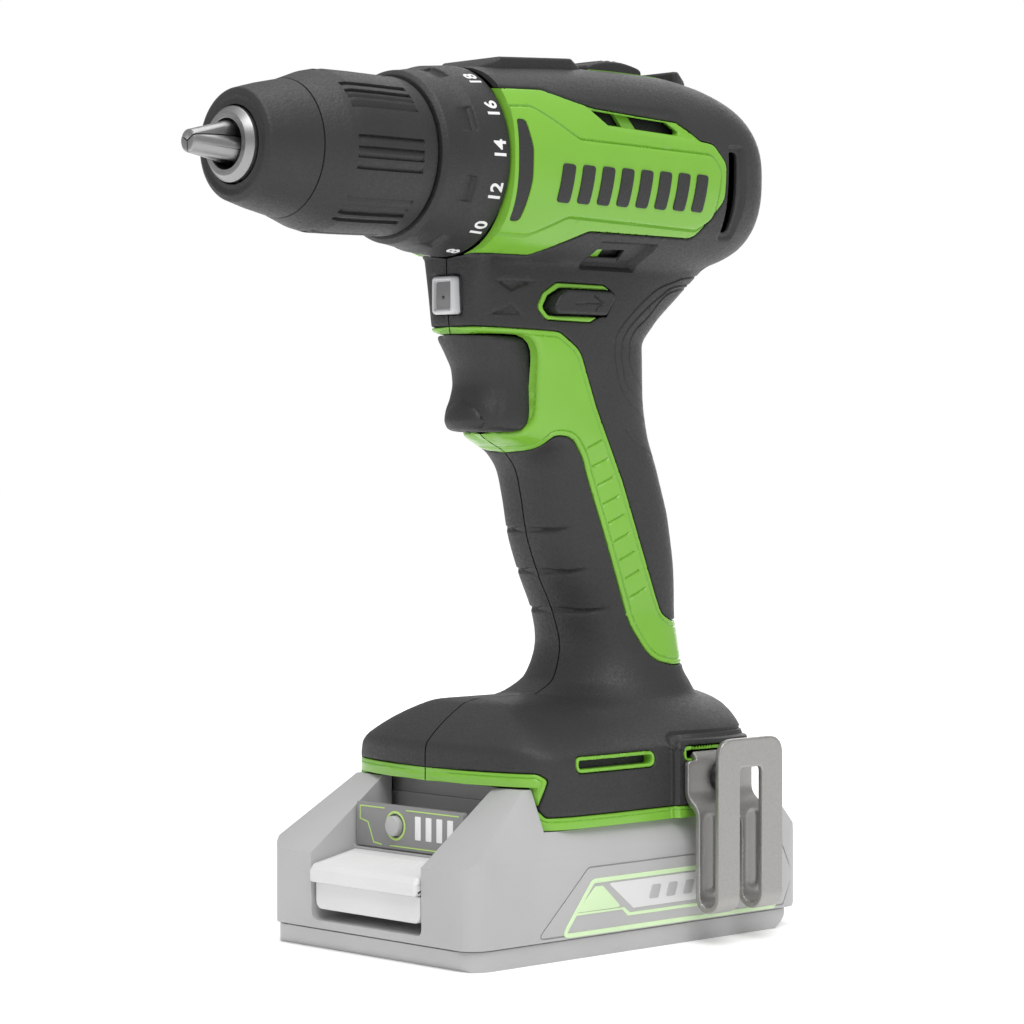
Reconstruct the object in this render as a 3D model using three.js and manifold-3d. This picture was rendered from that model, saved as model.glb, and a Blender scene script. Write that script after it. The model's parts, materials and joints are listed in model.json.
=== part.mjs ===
// Cordless drill and driver with a keyless chuck, a two-speed planetary gearbox, a torque collar and a
// battery pack that slides on under the grip.
// Millimetres. +Z up, the chuck points to -X, the tool's left side is -Y.
// Origin: the middle of the battery's flat underside, which the drill stands on.
import * as THREE from "three";
import { mergeVertices } from "three/addons/utils/BufferGeometryUtils.js";
import Module from "manifold-3d";

const wasm = await Module();
wasm.setup();

// ---------------------------------------------------------------- driving dimensions
const GAP = 0.3; // between pieces that touch
const AXIS_Z = 200.3; // height of the spindle's axis
const SPLIT = GAP / 2; // each half of the housing stops this far from the middle plane

const JAW_TIP_X = -116.7;
const NOSE_X = -105.2;
const SLEEVE_FRONT_X = -102.3;
const CAP_SEAM_X = -88.3;
const SLEEVE_REAR_X = -54.0;
const COLLAR_FRONT_X = -53.4;
const COLLAR_REAR_X = -33.8;
const BODY_FRONT_X = -33.2;
const BODY_REAR_X = 72;

const JAW_ANGLE = (14 * Math.PI) / 180;
const JAW_R = 2.9;
const JAW_OFFSET = 2.55; // distance of a closed jaw's axis from the spindle's axis, at the nose
const JAW_TAIL_X = -80;

const RUBBER = 1.2; // thickness of the overmould
const SHELL = 2.4; // wall of the housing under it
const FOOT_BOTTOM = 32.3;
const FOOT_FRONT_BOTTOM = 43;
const FOOT_STEP_X = -33;
const FOOT_HALF = 37.5;

const BATTERY_HALF_X = 61;
const BATTERY_HALF_Y = 38.7;
const BATTERY_SEAM_Z = 5;
const BATTERY_TRAY_HALF = 38.2;

const TOOTH = 0.9; // gear module
const SUN_TEETH = 12;
const PLANET_TEETH = 12;
const RING_TEETH = 36;
const PLANET_ORBIT = ((SUN_TEETH + PLANET_TEETH) * TOOTH) / 2;
const MOTOR_R = 18;
const MOTOR_X = [0, 54];

// ---------------------------------------------------------------- materials
const paint = (color, roughness, metalness = 0) =>
  new THREE.MeshStandardMaterial({ color, roughness, metalness });
const GREEN = () => paint(0x74c138, 0.35);
const BLACK = () => paint(0x2c2c2d, 0.75);
const NYLON = () => paint(0x252526, 0.55);
const STEEL = () => paint(0xa8a7a3, 0.35, 1);
const DARK_STEEL = () => paint(0x5e5d5b, 0.45, 1);
const COPPER = () => paint(0xb06a3a, 0.4, 1);
const BRASS = () => paint(0xb99b52, 0.35, 1);
const PALE = () => paint(0xc6c6c6, 0.5);
const LIGHT = () => paint(0xe4e4e4, 0.5);
const CELL = () => paint(0x4aa9a0, 0.4);
const BOARD = () => paint(0x1f5a34, 0.5);
const CLEAR = () => paint(0xe8eef2, 0.1);

// ---------------------------------------------------------------- solids
function solid(geometry) {
  const g = geometry.clone();
  g.deleteAttribute("normal");
  g.deleteAttribute("uv");
  const merged = mergeVertices(g, 1e-4);
  const build = (triVerts) =>
    new wasm.Manifold(
      new wasm.Mesh({
        numProp: 3,
        vertProperties: merged.attributes.position.array,
        triVerts,
      }),
    );
  const triangles = new Uint32Array(merged.index.array);
  const made = build(triangles);
  if (made.volume() >= 0) return made;
  for (let i = 0; i < triangles.length; i += 3)
    [triangles[i + 1], triangles[i + 2]] = [triangles[i + 2], triangles[i + 1]];
  return build(triangles);
}

function geometryOf(manifold) {
  const mesh = manifold.getMesh();
  const g = new THREE.BufferGeometry();
  g.setAttribute("position", new THREE.BufferAttribute(mesh.vertProperties, 3));
  g.setIndex(new THREE.BufferAttribute(mesh.triVerts, 1));
  return g.toNonIndexed();
}

const union = (...all) => all.reduce((a, b) => a.add(b));
const cut = (body, ...tools) => tools.reduce((a, b) => a.subtract(b), body);

// A box from its low and high corners.
function box(low, high) {
  const size = high.map((v, i) => v - low[i]);
  const g = new THREE.BoxGeometry(...size);
  g.translate(...low.map((v, i) => v + size[i] / 2));
  return solid(g);
}

// A box whose edges along one axis ("x", "y" or "z") are rounded.
function roundedBox(low, high, r, along = "y", steps = 3) {
  const axes = { x: [1, 2, 0], y: [2, 0, 1], z: [0, 1, 2] }[along];
  const [u, v, w] = axes;
  const a = [low[u], low[v]];
  const b = [high[u], high[v]];
  const shape = new THREE.Shape();
  shape.moveTo(a[0] + r, a[1]);
  shape.lineTo(b[0] - r, a[1]);
  shape.absarc(b[0] - r, a[1] + r, r, -Math.PI / 2, 0);
  shape.lineTo(b[0], b[1] - r);
  shape.absarc(b[0] - r, b[1] - r, r, 0, Math.PI / 2);
  shape.lineTo(a[0] + r, b[1]);
  shape.absarc(a[0] + r, b[1] - r, r, Math.PI / 2, Math.PI);
  shape.lineTo(a[0], a[1] + r);
  shape.absarc(a[0] + r, a[1] + r, r, Math.PI, Math.PI * 1.5);
  return extrudeAlong(shape, along, low[w], high[w], steps);
}

// Extrudes a flat shape along a world axis: x takes (y, z) shapes, y takes (z, x) shapes, z takes (x, y).
function extrudeAlong(shape, along, from, to, curveSegments = 6) {
  const g = new THREE.ExtrudeGeometry(shape, {
    depth: to - from,
    bevelEnabled: false,
    curveSegments,
  });
  g.translate(0, 0, from);
  const turn = new THREE.Matrix4();
  if (along === "x") turn.set(0, 0, 1, 0, 1, 0, 0, 0, 0, 1, 0, 0, 0, 0, 0, 1);
  if (along === "y") turn.set(0, 1, 0, 0, 0, 0, 1, 0, 1, 0, 0, 0, 0, 0, 0, 1);
  g.applyMatrix4(turn);
  return solid(g);
}

// A side-view outline of [x, z] points, extruded across the tool.
function sideProfile(points, yFrom, yTo) {
  const shape = new THREE.Shape(points.map(([x, z]) => new THREE.Vector2(z, x)));
  return extrudeAlong(shape, "y", yFrom, yTo);
}

// A solid of revolution about the X axis, from [x, r] points that start and end on the axis or close.
function turned(points, segments = 24) {
  const g = new THREE.LatheGeometry(
    points.map(([x, r]) => new THREE.Vector2(r, x)),
    segments,
  );
  g.rotateZ(-Math.PI / 2);
  return solid(g);
}

const rod = (x0, x1, r, segments = 16) =>
  turned([[x0, 0], [x0, r], [x1, r], [x1, 0]], segments);
const tube = (x0, x1, inner, outer, segments = 20) =>
  turned([[x0, inner], [x0, outer], [x1, outer], [x1, inner], [x0, inner]], segments);

// A cylinder across the tool (along Y) or upright (along Z).
function post(axis, center, r, from, to, segments = 16) {
  const g = new THREE.CylinderGeometry(r, r, to - from, segments);
  if (axis === "z") {
    g.rotateX(Math.PI / 2);
    g.translate(center[0], center[1], (from + to) / 2);
  } else {
    g.translate(center[0], (from + to) / 2, center[1]);
  }
  return solid(g);
}

// A loft through closed rings with the same number of points, with flat ends.
function loft(rings) {
  const count = rings[0].length;
  const positions = rings.flat().flatMap((p) => p.toArray());
  const faces = [];
  const quad = (a, b, c, d) => faces.push(a, b, c, a, c, d);
  for (let r = 0; r + 1 < rings.length; r++)
    for (let i = 0; i < count; i++) {
      const j = (i + 1) % count;
      quad(r * count + i, r * count + j, (r + 1) * count + j, (r + 1) * count + i);
    }
  const last = (rings.length - 1) * count;
  for (let i = 1; i + 1 < count; i++) {
    faces.push(0, i + 1, i);
    faces.push(last, last + i, last + i + 1);
  }
  const g = new THREE.BufferGeometry();
  g.setAttribute("position", new THREE.Float32BufferAttribute(positions, 3));
  g.setIndex(faces);
  return solid(g);
}

// Points of a superellipse: power 2 is an ellipse, higher powers are boxier.
function superellipse(a, b, power, count) {
  return Array.from({ length: count }, (_, i) => {
    const t = ((i + 0.5) / count) * 2 * Math.PI;
    const round = (v) => Math.sign(v) * Math.abs(v) ** (2 / power);
    return [a * round(Math.cos(t)), b * round(Math.sin(t))];
  });
}

// ---------------------------------------------------------------- outer form of the housing
// Barrel stations: x, half width, bottom, top.
const BARREL = [
  [BODY_FRONT_X, 24.8, 175.6, 225.4],
  [-20, 26.4, 174.2, 227.9],
  [30, 27.0, 173.6, 228.6],
  [50, 26.0, 174.6, 226.6],
  [62, 22.6, 178.2, 220.8],
  [69, 17.2, 184.4, 214.2],
  [BODY_REAR_X, 10.6, 191.6, 207.4],
];
// Grip stations: z, front x, rear x, half width.
const GRIP = [
  [60, -10, 50, 26],
  [66, 2.6, 45.2, 22],
  [76, 7.4, 42.6, 18.2],
  [90, 2, 42.8, 17],
  [107, -5.1, 41, 17],
  [119, -7.6, 37.4, 17],
  [127, -13, 34.6, 17],
  [131, -21.5, 33.4, 17],
  [147, -28, 31.8, 17],
  [158, -32.2, 34.8, 17],
  [168, -33, 47, 17],
  [178, -33.2, 62, 16],
];
// Foot stations: z, front x, rear x, half width.
const FOOT = [
  [FOOT_BOTTOM, -40.4, 51, FOOT_HALF],
  [46.6, -40.6, 50.6, FOOT_HALF],
  [54, -39, 49, 35.6],
  [59.5, -31.5, 48, 29],
  [62.6, -26.5, 47.4, 24],
];
const BARREL_POWER = 2.5;
const GRIP_POWER = 2.4;
const FOOT_POWER = 6;

// Each form takes its inset from the surface and how many points its rings have.
function barrelForm(inset, count) {
  const shortened = 40; // the wall follows the rear dome from here back
  return loft(
    BARREL.map(([x, half, bottom, top]) => {
      const back = Math.max(0, (x - shortened) / (BODY_REAR_X - shortened));
      const middle = (bottom + top) / 2;
      return superellipse(half - inset, (top - bottom) / 2 - inset, BARREL_POWER, count).map(
        ([y, z]) => new THREE.Vector3(x - inset * back, y, middle + z),
      );
    }),
  );
}

function gripForm(inset, count) {
  return loft(
    GRIP.map(([z, front, rear, half]) =>
      superellipse((rear - front) / 2 - inset, half - inset, GRIP_POWER, count).map(
        ([x, y]) => new THREE.Vector3((front + rear) / 2 + x, y, z),
      ),
    ),
  );
}

function footForm(inset, count, stations) {
  return loft(
    stations.map(([z, front, rear, half]) => {
      const lowered = z > 50 ? z - inset : z;
      return superellipse((rear - front) / 2 - inset, half - inset, FOOT_POWER, count).map(
        ([x, y]) => new THREE.Vector3((front + rear) / 2 + x, y, lowered),
      );
    }),
  );
}

// The whole outer form, moved inwards by inset.
const bodyForm = (inset) => union(barrelForm(inset, 20), gripForm(inset, 16), footForm(inset, 20, FOOT));

// The space inside the housing, open under the foot.
function cavity() {
  const inset = RUBBER + GAP + SHELL;
  const below = [FOOT_BOTTOM - 6, ...FOOT[0].slice(1)];
  return union(barrelForm(inset, 16), gripForm(inset, 12), footForm(inset, 16, [below, ...FOOT.slice(1)]));
}

// ---------------------------------------------------------------- side-view outlines of the green areas
const SIDE_PANEL = [
  [-36, 216], [-20.8, 217.6], [-10.2, 214.4], [28.5, 208.2], [38.7, 207.6], [43.7, 202.7],
  [43.3, 193], [34.3, 182.4], [-4.4, 182.6], [-18.8, 176.4], [-36, 176.6],
];
const GRIP_STRIPE = [
  [-40, 158.8], [-12.3, 157.6], [-3.3, 153.6], [7, 134.7], [13.7, 119], [26.5, 88.2],
  [28.7, 84], [33.2, 82], [52, 81], [52, 70], [29.5, 70.1], [23.6, 71.9], [17.8, 79.5],
  [0.2, 119.1], [-4.7, 125.8], [-13.7, 129.4], [-22, 126.3], [-40, 126.3],
];
const FOOT_TRIM = [
  [-46, 40], [-46, 46.6], [-31, 46.2], [-33.4, 36.6], [-31.4, 35.4], [60, 35.4], [60, 30],
  [-37, 30], [-36, 40],
];
const GROW = 0.15; // the rubber keeps this far off each green outline, and the green as far inside it

// Both sides' prisms of one outline.
function bothSides(points, inner, margin) {
  const shape = grow(points, margin);
  return union(sideProfile(shape, -60, -inner), sideProfile(shape, inner, 60));
}

// A closed outline moved outwards by distance (inwards when negative).
function grow(points, distance) {
  const area = points.reduce((sum, [x, z], i) => {
    const [nx, nz] = points[(i + 1) % points.length];
    return sum + x * nz - nx * z;
  }, 0);
  const side = Math.sign(area) * distance;
  return points.map((p, i) => {
    const before = points[(i + points.length - 1) % points.length];
    const after = points[(i + 1) % points.length];
    const a = new THREE.Vector2(p[0] - before[0], p[1] - before[1]).normalize();
    const b = new THREE.Vector2(after[0] - p[0], after[1] - p[1]).normalize();
    const normal = new THREE.Vector2(a.y + b.y, -a.x - b.x).normalize();
    const reach = side / Math.max(0.5, normal.dot(new THREE.Vector2(b.y, -b.x)));
    return [p[0] + normal.x * reach, p[1] + normal.y * reach];
  });
}

// ---------------------------------------------------------------- openings in the housing
const TRIGGER_ZONE = { front: -45, back: -13.5, bottom: 130.6, top: 156.8 };
const TRIGGER_HALF = 11.4;
const BUTTON = { x: [-14.2, 7.6], z: [161.6, 168] };
const SELECTOR = { x: [11, 32], half: 7 };
const SCREWS = [[-20, 171.5], [27, 167], [4, 121.5], [31, 90], [-30, 50.4]];
const SCREW_HEAD_Y = [8.6, 11.4, 9, 9, 25];
const SCREW_TIP_Y = -6;

const mouth = () => rod(-60, -25, GEARCASE_R + GAP, 24).translate([0, 0, AXIS_Z]);

function triggerZone() {
  const t = TRIGGER_ZONE;
  return box([t.front, -30, t.bottom], [t.back, 30, t.top]);
}

function switchPassage() {
  const half = TRIGGER_HALF + 0.4;
  return box([-16, -half, 131.1], [-6.6, half, 156.3]);
}

function ventCuts() {
  const rearSlot = roundedBox([48.4, -40, 185], [52.2, 40, 205.6], 1.7);
  const smallVent = sideProfile([[-4, 175.6], [0.4, 178.6], [8.6, 178.6], [4.4, 175.6]], -40, 40);
  const sideWindow = sideProfile([[-1, 214.6], [4.4, 212], [27, 209.8], [24, 213.4]], -40, 40);
  return union(rearSlot, smallVent, sideWindow);
}

const buttonHole = (margin) =>
  roundedBox(
    [BUTTON.x[0] - margin, -40, BUTTON.z[0] - margin],
    [BUTTON.x[1] + margin, 40, BUTTON.z[1] + margin],
    2.6,
  );
const selectorHole = () =>
  roundedBox(
    [SELECTOR.x[0] - 1, -SELECTOR.half - 0.6, 215],
    [SELECTOR.x[1] + 9, SELECTOR.half + 0.6, 235],
    2,
    "z",
  );
const lampHole = () => box([-45, -4.6, 161], [-24, 4.6, 171.6]);
const frontOverhang = () => box([-60, -60, 20], [FOOT_STEP_X, 60, FOOT_FRONT_BOTTOM]);
const clipScrewHole = () => post("y", CLIP.screw, 2, -60, 60, 14);

function screwWells(r) {
  return SCREWS.map(([x, z], i) => post("y", [x, z], r, SCREW_HEAD_Y[i], 60, 10));
}

// ---------------------------------------------------------------- housing halves and overmould
function shellHalf(side) {
  const half = box(
    side < 0 ? [-200, -100, -10] : [-200, SPLIT, -10],
    side < 0 ? [200, -SPLIT, 260] : [200, 100, 260],
  );
  const outer = union(
    bodyForm(RUBBER + GAP),
    bodyForm(0).intersect(
      union(
        bothSides(SIDE_PANEL, 8, -GROW),
        bothSides(GRIP_STRIPE, 0, -GROW),
        bothSides(FOOT_TRIM, 0, -GROW),
      ),
    ),
  );
  let body = outer.subtract(cavity());
  const bosses = SCREWS.map(([x, z], i) => {
    const reach = SCREW_HEAD_Y[i] + 12;
    return post("y", [x, z], 4.6, -reach, reach, 8);
  });
  const inside = bodyForm(RUBBER + GAP + 0.4);
  body = union(body, ...bosses.map((b) => b.intersect(inside)));
  body = cut(
    body,
    mouth(),
    triggerZone(),
    switchPassage(),
    ventCuts(),
    buttonHole(0.4),
    selectorHole(),
    lampHole(),
    frontOverhang(),
    clipScrewHole(),
    ...SCREWS.map(([x, z], i) => post("y", [x, z], 1.9, SCREW_TIP_Y - 0.6, SCREW_HEAD_Y[i] + 1, 8)),
    ...screwWells(3.5),
  );
  return body.intersect(half);
}

// The rubber on one side: "upper" covers the barrel and the back of the grip, "lower" the front of
// the grip and the foot. The green stripe keeps them apart.
const LOWER_REGION = [
  [-60, 20], [-60, 127], [-22, 127], [-13.7, 127.5], [-5, 123], [8, 96], [22, 74], [31, 71],
  [60, 71], [60, 20],
];
const UPPER_REGION = [
  [-60, 157.5], [-12, 157], [-5, 153], [8, 130], [24, 90], [29, 82.5], [60, 81.5], [80, 81.5],
  [80, 240], [-60, 240],
];
function rubber(side, region) {
  const half = sideProfile(region, side < 0 ? -80 : SPLIT, side < 0 ? -SPLIT : 80);
  const skin = union(bodyForm(0), ...clipPads()).subtract(bodyForm(RUBBER));
  return cut(
    skin.intersect(half),
    bothSides(SIDE_PANEL, 8, GROW),
    bothSides(GRIP_STRIPE, 0, GROW),
    bothSides(FOOT_TRIM, 0, GROW),
    mouth(),
    triggerZone(),
    ventCuts(),
    buttonHole(0.6),
    selectorHole(),
    lampHole(),
    frontOverhang(),
    clipScrewHole(),
    ...screwWells(3.7),
  );
}

// ---------------------------------------------------------------- chuck (axis frame: the axis is Z = 0)
const JAW_LINE = (x) => JAW_OFFSET + (x - NOSE_X) * Math.tan(JAW_ANGLE);

// A rod along one jaw's slanted line, turned to the jaw's own angle about the axis.
function slantedRod(r, xFrom, xTo, turnAngle, segments) {
  const length = (xTo - xFrom) / Math.cos(JAW_ANGLE);
  const g = new THREE.CylinderGeometry(r, r, length, segments);
  g.rotateZ(-Math.PI / 2);
  g.rotateY(-JAW_ANGLE);
  const middle = (xFrom + xTo) / 2;
  g.translate(middle, 0, JAW_LINE(middle));
  g.rotateX(turnAngle);
  return solid(g);
}

const JAW_TURNS = [0, 1, 2].map((i) => (i * 2 * Math.PI) / 3);

function jaw(turnAngle) {
  const reach = 40;
  const half = Math.PI / 3;
  const keep = 0.17; // each jaw stays this far from its neighbours' faces
  const wedge = new THREE.Shape([
    new THREE.Vector2(0, keep / Math.sin(half)),
    new THREE.Vector2(reach * Math.sin(half), keep / Math.sin(half) + reach * Math.cos(half)),
    new THREE.Vector2(-reach * Math.sin(half), keep / Math.sin(half) + reach * Math.cos(half)),
  ]);
  const degrees = (turnAngle * 180) / Math.PI;
  const sector = extrudeAlong(wedge, "x", JAW_TIP_X, JAW_TAIL_X, 1).rotate([degrees, 0, 0]);
  return slantedRod(JAW_R, JAW_TIP_X - 8, JAW_TAIL_X + 6, turnAngle, 14).intersect(sector);
}

function chuckBody() {
  const form = turned([
    [NOSE_X, 6.2], [NOSE_X, 7.9], [-103.5, 9.3], [-101, 9.3], [-100.4, 11.2], [-84.5, 12.2], [-84.5, 10.6],
    [-77.5, 10.6], [-77.5, 14], [-57, 14], [-57, 5.6], [-73, 5.6], [-73, 3.4], [-76, 3.4],
    [-76, 5.7], [-100, 5.7], [NOSE_X, 6.2],
  ], 24);
  return cut(form, ...JAW_TURNS.map((t) => slantedRod(JAW_R + GAP + 0.05, -125, -50, t, 12)));
}

const sleeve = () =>
  turned([
    [CAP_SEAM_X + 0.3, 15.2], [CAP_SEAM_X + 0.3, 16.95], [-81, 19.4], [-77.5, 20.1],
    [SLEEVE_REAR_X, 19.9], [SLEEVE_REAR_X, 17.4], [-76, 17.4], [-76, 15.2], [CAP_SEAM_X + 0.3, 15.2],
  ], 28);

const noseCap = () =>
  turned([
    [SLEEVE_FRONT_X - 0.6, 9.7], [SLEEVE_FRONT_X - 0.6, 12.4], [SLEEVE_FRONT_X, 13.5], [CAP_SEAM_X, 16.9],
    [CAP_SEAM_X, 13], [-101.2, 11.8], [-101.6, 9.7], [SLEEVE_FRONT_X - 0.6, 9.7],
  ], 28);

// ---------------------------------------------------------------- gears (axis frame)
// Teeth are straight-sided; half tooth widths are angles at the root and tip circles.
function toothPath(path, teeth, rootR, tipR, rootHalf, tipHalf, phase) {
  const step = (2 * Math.PI) / teeth;
  for (let i = 0; i < teeth; i++) {
    const a = i * step + phase;
    [[rootR, -rootHalf], [tipR, -tipHalf], [tipR, tipHalf], [rootR, rootHalf]].forEach(([r, d], k) => {
      const x = r * Math.cos(a + d);
      const y = r * Math.sin(a + d);
      if (i === 0 && k === 0) path.moveTo(x, y);
      else path.lineTo(x, y);
    });
  }
  path.closePath();
}

function outerGear(teeth, phase, x0, x1, bore) {
  const pitch = (teeth * TOOTH) / 2;
  const shape = new THREE.Shape();
  const rootR = pitch - 1.15 * TOOTH;
  const tipR = pitch + 0.7 * TOOTH;
  toothPath(shape, teeth, rootR, tipR, (0.75 * TOOTH) / rootR, (0.25 * TOOTH) / tipR, phase);
  if (bore) {
    const hole = new THREE.Path();
    hole.absarc(0, 0, bore, 0, 2 * Math.PI, true);
    shape.holes.push(hole);
  }
  return extrudeAlong(shape, "x", x0, x1, 6);
}

function ringGear(x0, x1, outerR) {
  const pitch = (RING_TEETH * TOOTH) / 2;
  const shape = new THREE.Shape();
  shape.absarc(0, 0, outerR, 0, 2 * Math.PI, false);
  const teeth = new THREE.Path();
  const rootR = pitch + 1.15 * TOOTH;
  const tipR = pitch - 0.7 * TOOTH;
  toothPath(teeth, RING_TEETH, rootR, tipR, (0.75 * TOOTH) / rootR, (0.25 * TOOTH) / tipR, 0);
  shape.holes.push(teeth);
  return extrudeAlong(shape, "x", x0, x1, 12);
}

const STAGE_1 = { ring: [-13, -5], planet: [-12.5, -6], plate: [-15.6, -13.2] };
const STAGE_2 = { ring: [-25, -16.2], planet: [-23.6, -17], plate: [-27, -24.2] };
const PLANET_ANGLES = [0, 1, 2].map((i) => (i * 2 * Math.PI) / 3);
const orbit = (a) => [PLANET_ORBIT * Math.cos(a), PLANET_ORBIT * Math.sin(a)];
const GEARCASE_R = 21.4;
const RING_R = 18.4;

function planet(stage) {
  return outerGear(PLANET_TEETH, Math.PI / PLANET_TEETH, stage.planet[0], stage.planet[1], 1.8);
}

function pins(stage) {
  return PLANET_ANGLES.map((a) => {
    const [y, z] = orbit(a);
    return rod(stage.plate[0] + 0.5, stage.planet[1] + 0.2, 1.45, 8).translate([0, y, z]);
  });
}

// Carrier plate and pins of stage 1 with the sun gear of stage 2 in front of it.
const carrier = () =>
  union(
    rod(STAGE_1.plate[0], STAGE_1.plate[1], 12.8, 18),
    ...pins(STAGE_1),
    outerGear(SUN_TEETH, 0, STAGE_2.planet[0], STAGE_1.plate[0] + 0.5, 0),
  );

// Output spindle: threaded nose for the chuck, bearing journal, carrier plate and pins of stage 2.
const spindle = () =>
  cut(
    union(
      rod(-70, -56.4, 5.2, 16),
      rod(-56.6, -30, 6, 16),
      rod(-30.2, STAGE_2.plate[0] + 0.4, 8.2, 16),
      rod(STAGE_2.plate[0], STAGE_2.plate[1], 12.8, 18),
      ...pins(STAGE_2),
    ),
    rod(-80, -58, 2.3, 12),
  );

const gearcase = () =>
  cut(
    union(
      tube(-52.4, -30, 10.4, 13, 20),
      tube(-31, -28.6, 10.4, GEARCASE_R, 24),
      tube(-30, -3.6, RING_R + GAP, GEARCASE_R, 24),
    ),
    // windows for the shift ring's wire
    box([-24, -2, 18], [-15, 2, 24]),
  );

// A helical spring: square sections along a helix, with closed ends.
class Helix extends THREE.Curve {
  constructor(x0, x1, r, turns) {
    super();
    Object.assign(this, { x0, x1, r, turns });
  }
  getPoint(t, target = new THREE.Vector3()) {
    const a = t * this.turns * 2 * Math.PI;
    return target.set(this.x0 + (this.x1 - this.x0) * t, this.r * Math.cos(a), this.r * Math.sin(a));
  }
}

function coil(x0, x1, r, wire, turns, stepsPerTurn = 10) {
  const section = new THREE.Shape();
  section.absarc(0, 0, wire, 0, 2 * Math.PI);
  const g = new THREE.ExtrudeGeometry(section, {
    steps: Math.round(turns * stepsPerTurn),
    curveSegments: 3,
    extrudePath: new Helix(x0, x1, r, turns),
  });
  return solid(g);
}

// ---------------------------------------------------------------- motor (axis frame)
const motorCan = () =>
  cut(
    turned([
      [MOTOR_X[0], 5.6], [MOTOR_X[0], MOTOR_R], [MOTOR_X[1], MOTOR_R], [MOTOR_X[1], MOTOR_R - 3.4],
      [MOTOR_X[0] + 2, MOTOR_R - 3.4], [MOTOR_X[0] + 2, 5.6], [MOTOR_X[0], 5.6],
    ]),
    box([6, -30, -3], [10, 30, 3]),
    box([44, -3, -30], [49, 3, 30]),
  );
function endCap() {
  const front = MOTOR_X[1] + GAP;
  const form = turned([
    [front, 6], [front, MOTOR_R - 1.2], [57.2, MOTOR_R - 1.6], [57.2, 5.4], [60, 5.4], [60, 3.4],
    [front, 3.4], [front, 6],
  ]);
  return cut(form, box([50, -3, 9], [62, 3, 15]), box([50, -3, -15], [62, 3, -9]));
}

// Five slots leave the rotor its poles.
function rotor() {
  const slots = Array.from({ length: 5 }, (_, i) =>
    box([5, -1.3, 8.5], [60, 1.3, 20]).rotate([i * 72, 0, 0]));
  return cut(rod(12, 42, 13.8, 20), ...slots, rod(0, 60, 1.9, 12));
}

const commutator = () => tube(44.4, 52.6, 1.9, 5, 14);
const motorShaft = () =>
  union(rod(-4.2, 59.6, 1.6, 12), outerGear(SUN_TEETH, 0, STAGE_1.planet[0], -4, 0));
function fan() {
  const blades = Array.from({ length: 6 }, (_, i) =>
    box([4.8, 3.6, -0.6], [10.6, 12.6, 0.6]).rotate([i * 60, 0, 0]));
  const wheel = union(tube(3, 5.2, 1.9, 12.6, 20), tube(3, 10.6, 1.9, 4, 12), ...blades);
  return cut(wheel, rod(0, 12, 1.9, 12));
}

// ---------------------------------------------------------------- collar and clutch (axis frame)
const collar = () => {
  const ring = turned([
    [COLLAR_FRONT_X, 18.4], [COLLAR_FRONT_X, 20.6], [-52.4, 21.6], [-46, 22.6], [-36.4, 24.1],
    [COLLAR_REAR_X, 24.3], [COLLAR_REAR_X, 21], [-50.8, 20], [-50.8, 18.4], [COLLAR_FRONT_X, 18.4],
  ], 32);
  const pads = Array.from({ length: 8 }, (_, i) =>
    box([-51, -3, 22.1], [-43.6, 3, 26]).rotate([i * 45 + 22.5, 0, 0]));
  return cut(ring, ...pads);
};
const springPlate = () => tube(-48.6, -46.6, 13.4, 19.4, 20);

// ---------------------------------------------------------------- controls
function trigger() {
  // side outline: finger hollow in front, a stem that reaches the switch behind
  const t = TRIGGER_ZONE;
  const shape = new THREE.Shape();
  shape.moveTo(t.top - 0.9, -13.9);
  shape.lineTo(t.top - 0.9, -31);
  shape.quadraticCurveTo(154.6, -34.6, 151.6, -33.2);
  shape.quadraticCurveTo(143, -25.4, 135.6, -32);
  shape.quadraticCurveTo(132.6, -32, 131.6, -27);
  shape.lineTo(t.bottom + 0.9, -13.9);
  const body = extrudeAlong(shape, "y", -TRIGGER_HALF, TRIGGER_HALF, 5);
  return union(body, box([-14.2, -5, 139], [-4.6, 5, 150]));
}

const switchModule = () =>
  cut(
    roundedBox([-4, -9.6, 127.6], [20, 9.6, 158.4], 2),
    box([-6, -5.6, 138.4], [5.4, 5.6, 150.6]),
  );

const directionButton = () =>
  union(
    roundedBox([BUTTON.x[0], -18.4, BUTTON.z[0]], [BUTTON.x[1], 18.4, BUTTON.z[1]], 2.4),
    box([-2, -2, 159.2], [2, 2, BUTTON.z[0] + 0.5]),
  );

const speedSelector = () =>
  union(
    roundedBox([SELECTOR.x[0], -SELECTOR.half, 222.4], [SELECTOR.x[1], SELECTOR.half, 229.4], 1.6, "z"),
    box([SELECTOR.x[0] + 2, -SELECTOR.half + 1, 229], [SELECTOR.x[1] - 2, SELECTOR.half - 1, 230]),
  );

const lampLens = () => roundedBox([-34.8, -4.2, 161.4], [-30, 4.2, 171.2], 1.4, "x");

// ---------------------------------------------------------------- foot, clip and terminals
const terminalBlock = () =>
  union(
    box([-14, -19, 45.4], [20, 19, 48.8]),
    box([-18, -14, 42.6], [-13.5, 14, 48.8]),
    ...[-13, -6.5, 0, 6.5, 13].map((y) => box([-13.6, y - 0.5, 39.6], [8, y + 0.5, 45.6])),
  );

// Sheet-steel clip: a tab on the foot's pad, a step outwards, two legs down, round and up to a bridge.
const CLIP = { x: [14, 38.4], slot: [22, 30.4], thick: 1.6, screw: [26.2, 42.2] };

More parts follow.
